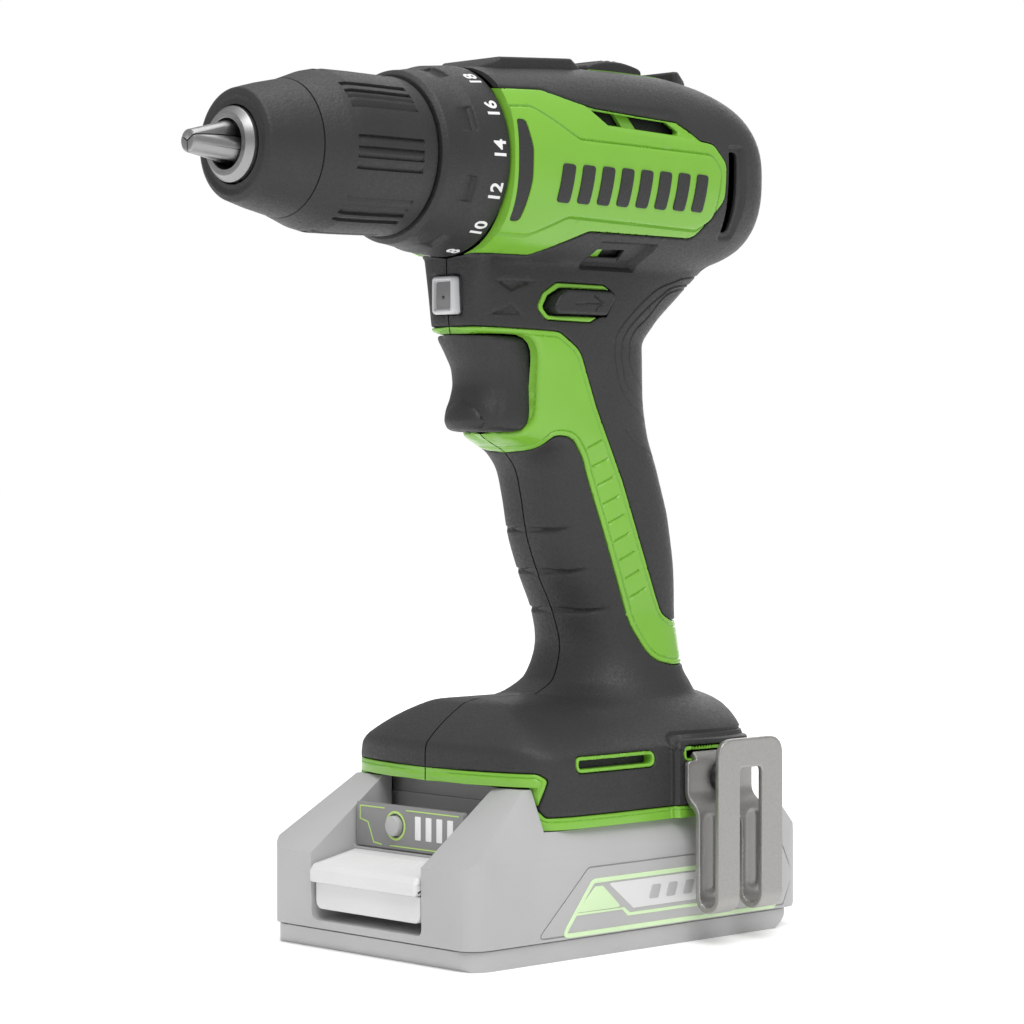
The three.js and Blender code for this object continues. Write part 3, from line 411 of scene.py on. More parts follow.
WEB_LINES = [
    [(62, 174.4), (44.3, 173.1), (37.3, 171.7), (29, 169.2), (20, 163.6), (13.3, 157.9), (11.4, 153.6),
     (11.7, 149), (13.7, 143.2), (19.1, 138.6), (33, 132)],
    [(60.3, 171.8), (39.6, 170.7), (31.7, 167.8), (23.1, 162.8), (16.5, 157.6), (14.3, 153.3), (14.6, 149.1),
     (17.6, 143.2), (33, 136)],
    [(59, 171.5), (36.7, 168.9), (26.7, 162.1), (20.1, 157.7), (18.3, 153.4), (19.4, 147.5), (33, 139.5)],
    [(15.2, 132.1), (19.6, 129.3), (33, 123.6)],
]


def flowing(points, steps=10):
    """A smooth open line through points."""
    points = np.asarray(points, float)
    padded = np.concatenate([points[:1], points, points[-1:]])
    out = []
    for p0, p1, p2, p3 in zip(padded, padded[1:], padded[2:], padded[3:]):
        for t in np.linspace(0, 1, steps, endpoint=False):
            out.append(0.5 * (2 * p1 + (p2 - p0) * t + (2 * p0 - 5 * p1 + 4 * p2 - p3) * t**2
                              + (3 * p1 - p0 - 3 * p2 + p3) * t**3))
    return np.array([*out, points[-1]])


BODY_RELIEF = [
    groove(PLATEAU, 0.42, 0.42, closed=True),
    step(PLATEAU, 0.45, 0.9),
    step(WINDOW_LEDGE, -1.3, 3.0),
    step(VENT_RECESS, -1.7, 1.5),
    step(SLOT_RECESS, -0.9, 1.0),
    step(PAD, 1.05, 0.8),
    groove(grown(PAD, 1.5), 0.5, 0.5, closed=True),
    step(rounded([(-27, 170.5), (-13.6, 170.5), (-22.3, 166.8)], 0.4), -1.0, 1.3),
    step(rounded([(-30.2, 160.7), (-18.6, 160.9), (-22.4, 164.6)], 0.4), -1.0, 1.3),
    *[groove(flowing(line), 0.36, 0.32) for line in WEB_LINES],
    *[groove([(GRIP_FRONT(z) - 1, z), (GRIP_FRONT(z) + 2, z - 0.3), (GRIP_FRONT(z) + 7 + k, z + 0.6)], 0.85,
             0.8, taper=0.75) for k, z in enumerate((106.2, 95.2, 84.8))],
    groove(grown(STRIPE, -1.5), 0.3, 0.3, closed=True),
    groove(grown(TRIM, -1.1), 0.28, 0.25, closed=True),
]
for k in range(9):  # a row of plain engraved dashes down the stripe
    z = 128.5 - 4.9 * k
    center = np.array([7.2 + (120.3 - z) * 0.4, z])
    BODY_RELIEF.append(groove([center + (-2.3, -1.0), center + (2.3, 1.0)], 0.5, 0.45))


# ---------------------------------------------------------------- meshes
def to_object(name, points, faces, sharp=32):
    """A mesh object from points in millimetres, smooth apart from edges sharper than an angle."""
    mesh = bpy.data.meshes.new(name)
    mesh.from_pydata((np.asarray(points) * MM).tolist(), [], [list(map(int, f)) for f in faces])
    piece = bpy.data.objects.new(name, mesh)
    bpy.context.scene.collection.objects.link(piece)
    smooth(piece, sharp)
    return piece


def smooth(piece, sharp=32):
    """Shade a piece smoothly, except over edges sharper than the given angle in degrees."""
    mesh = piece.data
    mesh.polygons.foreach_set("use_smooth", [True] * len(mesh.polygons))
    mesh.set_sharp_from_angle(angle=math.radians(sharp))
    mesh.update()


def point_normals(points, triangles):
    """One normal for each point: its triangles' normals weighted by their corner angles."""
    a, b, c = (points[triangles[:, k]] for k in range(3))
    flat = np.cross(b - a, c - a)
    out = np.zeros_like(points)
    for k, (p, q, r) in enumerate(((a, b, c), (b, c, a), (c, a, b))):
        e, f = q - p, r - p
        size = np.linalg.norm(e, axis=1) * np.linalg.norm(f, axis=1)
        angle = np.arccos(np.clip((e * f).sum(1) / np.maximum(size, 1e-15), -1, 1))
        unit = flat / np.maximum(np.linalg.norm(flat, axis=1, keepdims=True), 1e-15)
        np.add.at(out, triangles[:, k], unit * angle[:, None])
    return out / np.maximum(np.linalg.norm(out, axis=1, keepdims=True), 1e-15)


def mesh_plane(outlines, points):
    """Delaunay triangles of the plane that keep every edge of the outlines."""
    verts, edges = [], []
    for line, closed in outlines:
        start, count = len(verts), len(line)
        verts += [Vector(p) for p in line]
        edges += [(start + i, start + (i + 1) % count) for i in range(count if closed else count - 1)]
    verts += [Vector(p) for p in points]
    found = delaunay_2d_cdt(verts, edges, [], 0, 1e-5, False)
    return np.array([tuple(v) for v in found[0]]), np.array(found[2])


def around(line, offsets, closed=True):
    """Points beside a line, at each of the given distances (positive outwards)."""
    normals = normals_of(line, closed)
    return np.concatenate([line + normals * d for d in offsets])


EDGE_RINGS = [-0.004, -0.03, -0.1, -0.24, -0.45, -0.8, -1.25, -1.85, -2.6, -3.6]
LIP = 0.45  # radius of the rounded edge of each piece
LIP_RINGS = [-0.03, -0.12, -0.27, -LIP]
WINDOW_LIP = 1.7  # the trigger's opening has a softer edge


def thicken(name, flat, triangles, y_out, y_in, lip_lines, relief, flipped, seam_points):
    """A closed piece from a triangulated patch of the side view: outer face, inner face and walls."""
    used, triangles = np.unique(triangles, return_inverse=True)
    triangles = triangles.reshape(-1, 3)
    flat, outer_y, inner_y = flat[used], y_out[used], y_in[used]
    at_seam = seam_points[used]
    a, b, c = (flat[triangles[:, k]] for k in range(3))
    turn = (b[:, 0] - a[:, 0]) * (c[:, 1] - a[:, 1]) - (b[:, 1] - a[:, 1]) * (c[:, 0] - a[:, 0])
    triangles = np.where((turn < 0)[:, None], triangles[:, ::-1], triangles)
    outer = np.stack([flat[:, 0], -outer_y, flat[:, 1]], 1)
    normal = point_normals(outer, triangles)
    normal[at_seam, 1] = 0
    normal /= np.maximum(np.linalg.norm(normal, axis=1, keepdims=True), 1e-9)
    rise = np.zeros(len(flat))
    for item in relief:
        reach = max(map(abs, item["offsets"]))
        low, high = item["line"].min(0) - reach, item["line"].max(0) + reach
        near = np.all((flat >= low) & (flat <= high), axis=1)
        if not near.any():
            continue
        far, along = distance(flat[near], item["line"], item["closed"], reach + 0.1)
        change = item["height"](far, along)
        if item.get("inner"):
            change = np.where(inside(flat[near], item["line"]), change, 0)
        rise[near] += change
    for line, radius in lip_lines:
        far, _ = distance(flat, line, reach=radius + 0.05)
        share = np.clip(1 - far / radius, 0, 1)
        rise -= radius * (1 - np.sqrt(1 - share**2)) * ~at_seam
    outer = outer + normal * rise[:, None]
    inner = np.stack([flat[:, 0], -inner_y, flat[:, 1]], 1)
    count = len(flat)
    edges = np.concatenate([triangles[:, [0, 1]], triangles[:, [1, 2]], triangles[:, [2, 0]]])
    key = edges[:, 0] * count + edges[:, 1]
    border = edges[~np.isin(key, edges[:, 1] * count + edges[:, 0])]
    walls = np.concatenate([
        np.stack([border[:, 1], border[:, 0], border[:, 0] + count], 1),
        np.stack([border[:, 1], border[:, 0] + count, border[:, 1] + count], 1),
    ])
    faces = np.concatenate([triangles, triangles[:, ::-1] + count, walls])
    points = np.concatenate([outer, inner])
    if flipped:
        points[:, 1] *= -1
        faces = faces[:, ::-1]
    return weld(name, points, faces)


def weld(name, points, faces, near=2e-4):
    """Joins points that lie together, drops faces that collapse, and makes the object."""
    key = np.round(points / near).astype(np.int64)
    _, first, back = np.unique(key, axis=0, return_index=True, return_inverse=True)
    back = back.reshape(-1)
    faces = back[faces]
    good = (faces[:, 0] != faces[:, 1]) & (faces[:, 1] != faces[:, 2]) & (faces[:, 2] != faces[:, 0])
    return to_object(name, points[first], faces[good])


def hexagonal(low, high, spacing):
    """Evenly spread points over a rectangle."""
    rows = np.arange(low[1], high[1], spacing * 0.866)
    out = []
    for k, z in enumerate(rows):
        xs = np.arange(low[0] + (k % 2) * spacing / 2, high[0], spacing)
        out.append(np.stack([xs, np.full(len(xs), z)], 1))
    return np.concatenate(out)


def body_side(side):
    """Outer pieces of one half of the body: a green under-body and the covers over it."""
    outline, closing = silhouette()
    outline = resample(outline, 1.0)
    label = "left" if side < 0 else "right"
    wells = [circle(c, SCREW_WELL_R) for c in SCREWS] if side > 0 else []
    green_areas = [PANEL, STRIPE, TRIM]
    holes = [TRIGGER_WINDOW, SIDE_WINDOW, SMALL_VENT, REAR_SLOT, channel_notch(), lamp_notch(), *wells]
    rims = [(BUTTON_RIM, BUTTON_WELL), (grown(FOOT_SLOT, 0), grown(FOOT_SLOT, -1.0)),
            (grown(PAD_SLOT, 0), grown(PAD_SLOT, -0.9))]
    lines = []
    for area in green_areas + [r[0] for r in rims]:
        fine = resample(area, 1.0)
        lines += [grown(fine, PARTING), grown(fine, -PARTING)]
    lines += [resample(h, 0.9) for h in holes + [r[1] for r in rims] + [ARC_INLAY]]
    points = [around(outline, EDGE_RINGS)]
    for line in lines:
        points.append(around(line, LIP_RINGS))
        points.append(around(line, [-r for r in LIP_RINGS]))
    window = resample(TRIGGER_WINDOW, 0.9)
    points.append(around(window, [WINDOW_LIP * k for k in (0.03, 0.1, 0.22, 0.4, 0.65, 1)]))
    for item in BODY_RELIEF:
        points.append(around(item["line"], item["offsets"], item["closed"]))
    low, high = outline.min(0), outline.max(0)
    spread = hexagonal(low, high, 1.35)
    spread = spread[distance(spread, outline, reach=3.3)[0] > 3.2]
    points = np.concatenate(points + [spread])
    points = points[inside(points, outline)]
    points = thinned(points, 0.03)
    flat, triangles = mesh_plane([(outline, True)] + [(line, True) for line in lines], points)

    half = half_width(flat[:, 0], flat[:, 1])
    near_seam = np.zeros(len(flat), bool)
    for line in closing:
        near_seam |= distance(flat, line, closed=False, reach=0.1)[0] < 2e-3
    half[near_seam] = 0
    outer_y = SEAM + half
    middle = flat[triangles].mean(1)
    within = inside(middle, outline)
    for hole in holes:
        within &= ~inside(middle, resample(hole, 0.9))
    green = np.zeros(len(middle), bool)
    cover = np.ones(len(middle), bool)
    for area in green_areas:
        fine = resample(area, 1.0)
        green |= inside(middle, grown(fine, -PARTING))
        cover &= ~inside(middle, grown(fine, PARTING))
    for rim, well in rims:
        fine = resample(rim, 1.0)
        green |= inside(middle, grown(fine, -PARTING)) & ~inside(middle, resample(well, 0.9))
        cover &= ~inside(middle, grown(fine, PARTING)) & ~inside(middle, grown(resample(well, 0.9), PARTING))
    inlay = inside(middle, resample(ARC_INLAY, 0.9)) & green
    green &= ~inlay
    upper = inside(middle, ABOVE_STRIPE)
    made = {}
    green_lips = [(grown(resample(a, 1.0), -PARTING), LIP) for a in green_areas + [r[0] for r in rims]]
    cover_lips = [(grown(resample(a, 1.0), PARTING), LIP) for a in green_areas + [r[0] for r in rims]]
    hole_lips = [(resample(h, 0.9), WINDOW_LIP if h is TRIGGER_WINDOW else LIP) for h in holes]
    rim_lips = [(resample(w, 0.9), LIP) for _, w in rims]
    inlay_lip = (resample(ARC_INLAY, 0.9), 0.3)
    notched = clear_depth(flat)
    for name, chosen, lips, drop, thickness in (
        (f"under_body_{label}", green, green_lips + hole_lips + rim_lips + [inlay_lip], 0.0, 3.2),
        (f"upper_cover_{label}", cover & upper, cover_lips + hole_lips, 0.0, 2.2),
        (f"lower_cover_{label}", cover & ~upper, cover_lips + hole_lips, 0.0, 2.2),
        (f"front_inlay_{label}", inlay, [inlay_lip], 0.25, 2.0),
    ):
        made[name] = thicken(
            name, flat, triangles[chosen & within], outer_y - drop,
            np.maximum(notched, outer_y - thickness), lips, BODY_RELIEF, side > 0, near_seam,
        )
    return made


def clear_depth(flat):
    """How near the middle plane inner faces may come, clear of the lamp's and selector's openings."""
    x, z = flat.T
    lamp = (x < -28) & (z > LENS_LOW[2] - 0.6) & (z < LENS_HIGH[2] + 0.6)
    channel = (x > CHANNEL[0] - 0.3) & (x < CHANNEL[1] + 0.3) & (z > 212)
    return np.where(lamp, LENS_HIGH[1] + 0.3, np.where(channel, CHANNEL[2] - 0.1, SEAM))


def thinned(points, gap):
    """The points with no two in the same small cell."""
    _, first = np.unique(np.round(points / gap).astype(np.int64), axis=0, return_index=True)
    return points[np.sort(first)]


# ---------------------------------------------------------------- materials
def nodes_of(material):
    """A material's nodes and links."""
    tree = material.node_tree
    return tree.nodes, tree.links


def new_material(name, roughness, metallic=0.0, **sockets):
    """A material and its main shader, with the shader's sockets set by name."""
    material = bpy.data.materials.new(name)
    material.use_nodes = True
    shader = material.node_tree.nodes["Principled BSDF"]
    shader.inputs["Roughness"].default_value = roughness
    shader.inputs["Metallic"].default_value = metallic
    for socket, value in sockets.items():
        shader.inputs[socket].default_value = value
    return material, shader


def noise(material, scale, detail=3.0, stretch=(1, 1, 1), kind="ShaderNodeTexNoise"):
    """A 3-D pattern in the object's own coordinates; scale is in features per millimetre."""
    nodes, links = nodes_of(material)
    where = nodes.new("ShaderNodeTexCoord")
    mapping = nodes.new("ShaderNodeMapping")
    mapping.inputs["Scale"].default_value = [s / MM for s in stretch]
    links.new(where.outputs["Object"], mapping.inputs["Vector"])
    pattern = nodes.new(kind)
    pattern.inputs["Scale"].default_value = scale
    if "Detail" in pattern.inputs:
        pattern.inputs["Detail"].default_value = detail
    links.new(mapping.outputs["Vector"], pattern.inputs["Vector"])
    return pattern.outputs["Fac" if kind == "ShaderNodeTexNoise" else "Distance"]


def ramp(material, source, stops):
    """Colours picked by a source value, from stops of (place, colour)."""
    nodes, links = nodes_of(material)
    made = nodes.new("ShaderNodeValToRGB")
    elements = made.color_ramp.elements
    for k, (place, colour) in enumerate(stops):
        element = elements[k] if k < 2 else elements.new(place)
        element.position = place
        element.color = (*colour, 1) if len(colour) == 3 else colour
    links.new(source, made.inputs["Fac"])
    return made.outputs["Color"]


def bump(material, shader, heights):
    """Bumps from a list of (pattern, height in millimetres)."""
    nodes, links = nodes_of(material)
    last = None
    for pattern, height in heights:
        made = nodes.new("ShaderNodeBump")
        made.inputs["Strength"].default_value = 1.0
        made.inputs["Distance"].default_value = height * MM
        links.new(pattern, made.inputs["Height"])
        if last:
            links.new(last, made.inputs["Normal"])
        last = made.outputs["Normal"]
    links.new(last, shader.inputs["Normal"])


def plastic(name, colour, roughness, grain, grain_height, variation=0.12, gloss_change=0.09, **sockets):
    """Moulded plastic: slow colour variation, a textured surface and uneven gloss."""
    material, shader = new_material(name, roughness, **sockets)
    links = nodes_of(material)[1]
    slow = noise(material, 0.045, 4)
    tone = lambda k: tuple(min(1, c * k) for c in colour)
    links.new(ramp(material, slow, [(0.3, tone(1 - variation)), (0.7, tone(1 + variation))]),
              shader.inputs["Base Color"])
    fine = noise(material, grain, 2)
    dull, bright = (roughness - gloss_change,) * 3, (roughness + gloss_change,) * 3
    gloss = ramp(material, fine, [(0.3, dull), (0.72, bright)])
    links.new(gloss, shader.inputs["Roughness"])
    bump(material, shader, [(fine, grain_height), (noise(material, grain * 0.4, 1), grain_height * 0.6)])
    return material


def metal(name, colour, roughness, stretch, scratch=0.004, variation=0.12, **sockets):
    """Worked metal: fine marks drawn out along one direction."""
    material, shader = new_material(name, roughness, 1.0, **sockets)
    links = nodes_of(material)[1]
    tone = lambda k: tuple(min(1, c * k) for c in colour)
    marks = noise(material, 1.0, 4, stretch)
    links.new(ramp(material, marks, [(0.3, tone(1 - variation)), (0.7, tone(1 + variation))]),
              shader.inputs["Base Color"])
    links.new(ramp(material, marks, [(0.3, (roughness - 0.07,) * 3), (0.7, (roughness + 0.09,) * 3)]),
              shader.inputs["Roughness"])
    bump(material, shader, [(marks, scratch)])
    return material


MATERIALS = {
    "green_plastic": plastic("green_satin_plastic", (0.2, 0.47, 0.045), 0.25, 0.2, 0.0, 0.03, 0.015),
    "black_rubber": plastic("black_textured_rubber", (0.024, 0.024, 0.0245), 0.58, 1.5, 0.12),
    "black_nylon": plastic("black_glass_filled_nylon", (0.022, 0.022, 0.0225), 0.55, 1.6, 0.11),
    "bright_steel": metal("brushed_steel", (0.6, 0.59, 0.57), 0.3, (12, 0.5, 12)),
    "gear_steel": metal("sintered_steel", (0.42, 0.41, 0.4), 0.42, (3, 3, 3), 0.01),
    "dark_steel": metal("blackened_steel", (0.09, 0.09, 0.092), 0.4, (3, 3, 3), 0.006),
    "cast_zinc": metal("cast_zinc", (0.42, 0.42, 0.42), 0.5, (1.5, 1.5, 1.5), 0.02),
    "copper_windings": metal("enamelled_copper", (0.62, 0.26, 0.1), 0.35, (0.3, 4, 4), 0.05),
    "commutator_brass": metal("turned_brass", (0.7, 0.47, 0.2), 0.3, (8, 0.6, 0.6)),
    "fan_plastic": plastic("fan_plastic", (0.42, 0.42, 0.4), 0.5, 2.0, 0.02),
    # The clear lens is drawn as opaque light grey plastic: its pale rim is a painted highlight for the bright
    # rim that light gives a clear lens.
    "clear_lens": plastic("lens_plastic", (0.62, 0.63, 0.64), 0.2, 1.2, 0.003, 0.05),
    "pale_plastic": plastic("pale_grey_plastic", (0.46, 0.46, 0.46), 0.45, 2.6, 0.02, 0.03),
    "light_plastic": plastic("light_grey_plastic", (0.72, 0.72, 0.72), 0.42, 2.6, 0.015, 0.03),
    "cell_sleeve": plastic("cell_sleeve", (0.09, 0.33, 0.31), 0.28, 1.2, 0.004),
    "circuit_board": plastic("solder_mask", (0.02, 0.12, 0.05), 0.3, 2.0, 0.01),
}


def finish_piece(piece, body, slot, *nodes, material=None):
    """Gives a piece its material (the slot's, unless one is given), puts it under its body, and hides the CAD
    nodes that it stands for.
    """
    piece.data.materials.clear()
    piece.data.materials.append(material or MATERIALS[slot])
    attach(piece, body)
    if nodes:
        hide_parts(*nodes)
    return piece


for row in frame["record"]["subparts"]:
    node = frame["nodes"][row["node"]]
    node.data.materials.clear()
    node.data.materials.append(MATERIALS[row["material_slot"]])

for side, label in ((-1, "left"), (1, "right")):
    pieces = body_side(side)
    finish_piece(pieces[f"under_body_{label}"], "housing", "green_plastic", f"housing_{label}")
    finish_piece(pieces[f"upper_cover_{label}"], "housing", "black_rubber", f"upper_overmould_{label}")
    finish_piece(pieces[f"lower_cover_{label}"], "housing", "black_rubber", f"lower_overmould_{label}")
    finish_piece(pieces[f"front_inlay_{label}"], "housing", "black_rubber")


# ---------------------------------------------------------------- lofted and turned shapes
def loft(name, rings, sharp=32, caps=(True, True), closed_loop=False):
    """A closed mesh through rings of points; each ring is an array of the same number of (x, y, z)."""
    rings = [np.asarray(r, float) for r in rings]
    n = len(rings[0])
    points = list(np.concatenate(rings))
    faces = []
    pairs = list(zip(range(len(rings) - 1), range(1, len(rings))))
    if closed_loop:
        pairs.append((len(rings) - 1, 0))
    for a, b in pairs:
        faces += [(a * n + i, a * n + (i + 1) % n, b * n + (i + 1) % n, b * n + i) for i in range(n)]
    if not closed_loop:
        for wanted, ring, order in ((caps[0], 0, 1), (caps[1], len(rings) - 1, -1)):
            if wanted:
                faces.append(tuple(range(ring * n, ring * n + n))[::-order])
    return outward(to_object(name, points, faces, sharp))


def outward(piece):
    """Turns a closed mesh's faces so that its volume is positive."""
    mesh = piece.data
    count = len(mesh.vertices)
    points = np.empty(count * 3)
    mesh.vertices.foreach_get("co", points)
    points = points.reshape(-1, 3)
    mesh.calc_loop_triangles()
    triangles = np.empty(len(mesh.loop_triangles) * 3, int)
    mesh.loop_triangles.foreach_get("vertices", triangles)
    a, b, c = (points[triangles.reshape(-1, 3)[:, k]] for k in range(3))
    if (a * np.cross(b, c)).sum() < 0:
        mesh.flip_normals()
    return piece


def seam_strip(name, line, depth=0.9, height=1.6, half=1.4):
    """A dark strip just inside a stretch of the seam, so that nothing shows through it."""
    line = resample(line, 1.2, closed=False)
    rings = []
    inward = normals_of(line, closed=False)
    middle = len(line) // 2
    if not inside((line[middle] + inward[middle] * depth)[None], BODY_OUTLINE)[0]:
        inward = -inward
    for point, normal in zip(line, inward):
        a, b = point + normal * depth, point + normal * (depth + height)
        rings.append([(a[0], -half, a[1]), (a[0], half, a[1]), (b[0], half, b[1]), (b[0], -half, b[1])])
    return loft(name, rings)


BODY_OUTLINE, BODY_CLOSING = silhouette()
top_line, under_line, rear_line, nose_line, _, grip_line, _ = BODY_CLOSING
rear_line = rear_line[rear_line[:, 1] > FOOT_BOTTOM + 2]
STRIPS = {
    "crown_seam_front": top_line[(top_line[:, 0] < CHANNEL[0] - 1)],
    "crown_seam_rear": top_line[(top_line[:, 0] > CHANNEL[1] + 1)],
    "rear_seam": np.concatenate([under_line, rear_line]),
    "front_seam": np.concatenate([nose_line, grip_line[grip_line[:, 1] < 128]])[::-1],
    "nose_seam": grip_line[grip_line[:, 1] > 172][::-1],
}
for name, line in STRIPS.items():
    finish_piece(seam_strip(name, line), "housing", "black_nylon")



def around_axis(x, r, angle):
    """A point r from the spindle's axis; angle 0 faces the left side and grows upwards."""
    return np.stack([x, -r * np.cos(angle), AXIS_Z + r * np.sin(angle)], -1)


def turned(name, profile, angles, displace=None, sharp=32):
    """A ring turned about the spindle's axis from a closed (x, r) profile, with optional relief."""
    profile = np.asarray(profile, float)
    angles = np.asarray(angles, float)
    rings = []
    for x, r in profile:
        radius = np.full(len(angles), r)
        if displace is not None:
            radius = radius + displace(x, r, angles)
        rings.append(around_axis(np.full(len(angles), x), radius, angles))
    return loft(name, rings, sharp, closed_loop=True)


def even_angles(count):
    """count angles that divide a full turn evenly."""
    return np.linspace(0, 2 * np.pi, count, endpoint=False)


def boolean(piece, others, operation="DIFFERENCE"):
    """The piece cut by (or joined with) other closed meshes, which are used up."""
    for other in others:
        modifier = piece.modifiers.new("cut", "BOOLEAN")
        modifier.operation = operation
        modifier.solver = "MANIFOLD"
        modifier.object = other
    bake_modifiers(piece)
    for other in others:
        drop(other)
    return piece


def bake_modifiers(piece):
    """Make a piece's modifiers part of its mesh."""
    bpy.context.view_layer.update()
    evaluated = piece.evaluated_get(bpy.context.evaluated_depsgraph_get())
    mesh = bpy.data.meshes.new_from_object(evaluated)
    old = piece.data
    piece.modifiers.clear()
    piece.data = mesh
    bpy.data.meshes.remove(old)


def drop(piece):
    """Delete a piece together with its mesh."""
    mesh = piece.data
    bpy.data.objects.remove(piece)
    bpy.data.meshes.remove(mesh)


def bevel(piece, width, segments=3, limit=30, sharp=32):
    """Round a piece's edges by a width in millimetres, where they are sharper than limit degrees."""
    modifier = piece.modifiers.new("bevel", "BEVEL")
    modifier.width = width * MM
    modifier.segments = segments
    modifier.limit_method = "ANGLE"
    modifier.angle_limit = math.radians(limit)
    modifier.use_clamp_overlap = True
    bake_modifiers(piece)
    smooth(piece, sharp)
    return piece


def slab(name, outline, low, high, place, edge=0.5, sharp=32, steps=4, both=True):
    """A plate from a flat outline, with rounded rims; place maps (u, v, h) to (x, y, z)."""
    outline = np.asarray(outline, float)
    turns = np.linspace(0, np.pi / 2, steps)
    rims = [(edge * (1 - math.sin(t)), edge * (1 - math.cos(t))) for t in turns]
    rings = []
    if both:
        rings += [(grown(outline, -inset), low + lift) for inset, lift in rims]
    else:
        rings.append((outline, low))
    rings += [(grown(outline, -inset), high - lift) for inset, lift in rims[::-1]]
    return loft(name, [place(u, h) for u, h in rings], sharp)


def on_side(side):
    """Places (x, z) outlines at a distance h from the middle plane on one side."""
    return lambda flat, h: np.stack([flat[:, 0], np.full(len(flat), side * h), flat[:, 1]], 1)


def facing_front(flat, h):
    """Places (y, z) outlines at x = -h."""
    return np.stack([np.full(len(flat), -h), flat[:, 0], flat[:, 1]], 1)


def facing_up(flat, h):
    """Places (x, y) outlines at z = h."""
    return np.stack([flat[:, 0], flat[:, 1], np.full(len(flat), h)], 1)


def rectangle(u0, v0, u1, v1, r, steps=6):
    """A closed rectangular outline with rounded corners."""
    return rounded([(u0, v0), (u1, v0), (u1, v1), (u0, v1)], r, steps)


# ---------------------------------------------------------------- chuck
GROOVES_X = (-80.0, -58.6)
GROOVE_DEPTH = 0.75
RATCHET = math.radians(5.2)  # width of one slanted groove
GROUP_TURN, FIRST_GROUP = math.pi / 4, math.radians(-4.5)
GROOVE_ANGLES = [FIRST_GROUP + g * GROUP_TURN + math.radians(k) for g in range(8) for k in (-12, -4, 4, 12)]


def groove_side(angle):
    """Which way a groove's steep wall faces: away from its group's middle."""
    group = round((angle - FIRST_GROUP) / GROUP_TURN) * GROUP_TURN + FIRST_GROUP
    return math.copysign(1, angle - group)


def sleeve_angles():
    """Angles round the sleeve: even ones, and closer ones at the walls of the grooves."""
    angles = list(even_angles(150))
    for angle in GROOVE_ANGLES:
        side = groove_side(angle)
        angles += [angle + side * math.radians(d) for d in (0.25, 0.0, -0.25, -1.5, -3.3, -5.2)]
    return np.array(sorted(set(np.round(np.mod(angles, 2 * np.pi), 4))))


def sleeve_relief(x, r, angles):
    """The grooves' depth around the sleeve at one station, 0 outside their length."""
    if r < 18.5 or not GROOVES_X[0] < x < GROOVES_X[1]:
        return np.zeros(len(angles))
    strength = ease((x - GROOVES_X[0]) / 0.8) * ease((GROOVES_X[1] - x) / 0.25)
    depth = np.zeros(len(angles))
    for angle in GROOVE_ANGLES:
        side = groove_side(angle)
        inwards = np.mod((angle - angles) * side + np.pi, 2 * np.pi) - np.pi
        in_groove = (inwards >= -1e-3) & (inwards < RATCHET)
        depth = np.maximum(depth, np.where(in_groove, 1 - inwards / RATCHET, 0))
    return -GROOVE_DEPTH * strength * depth


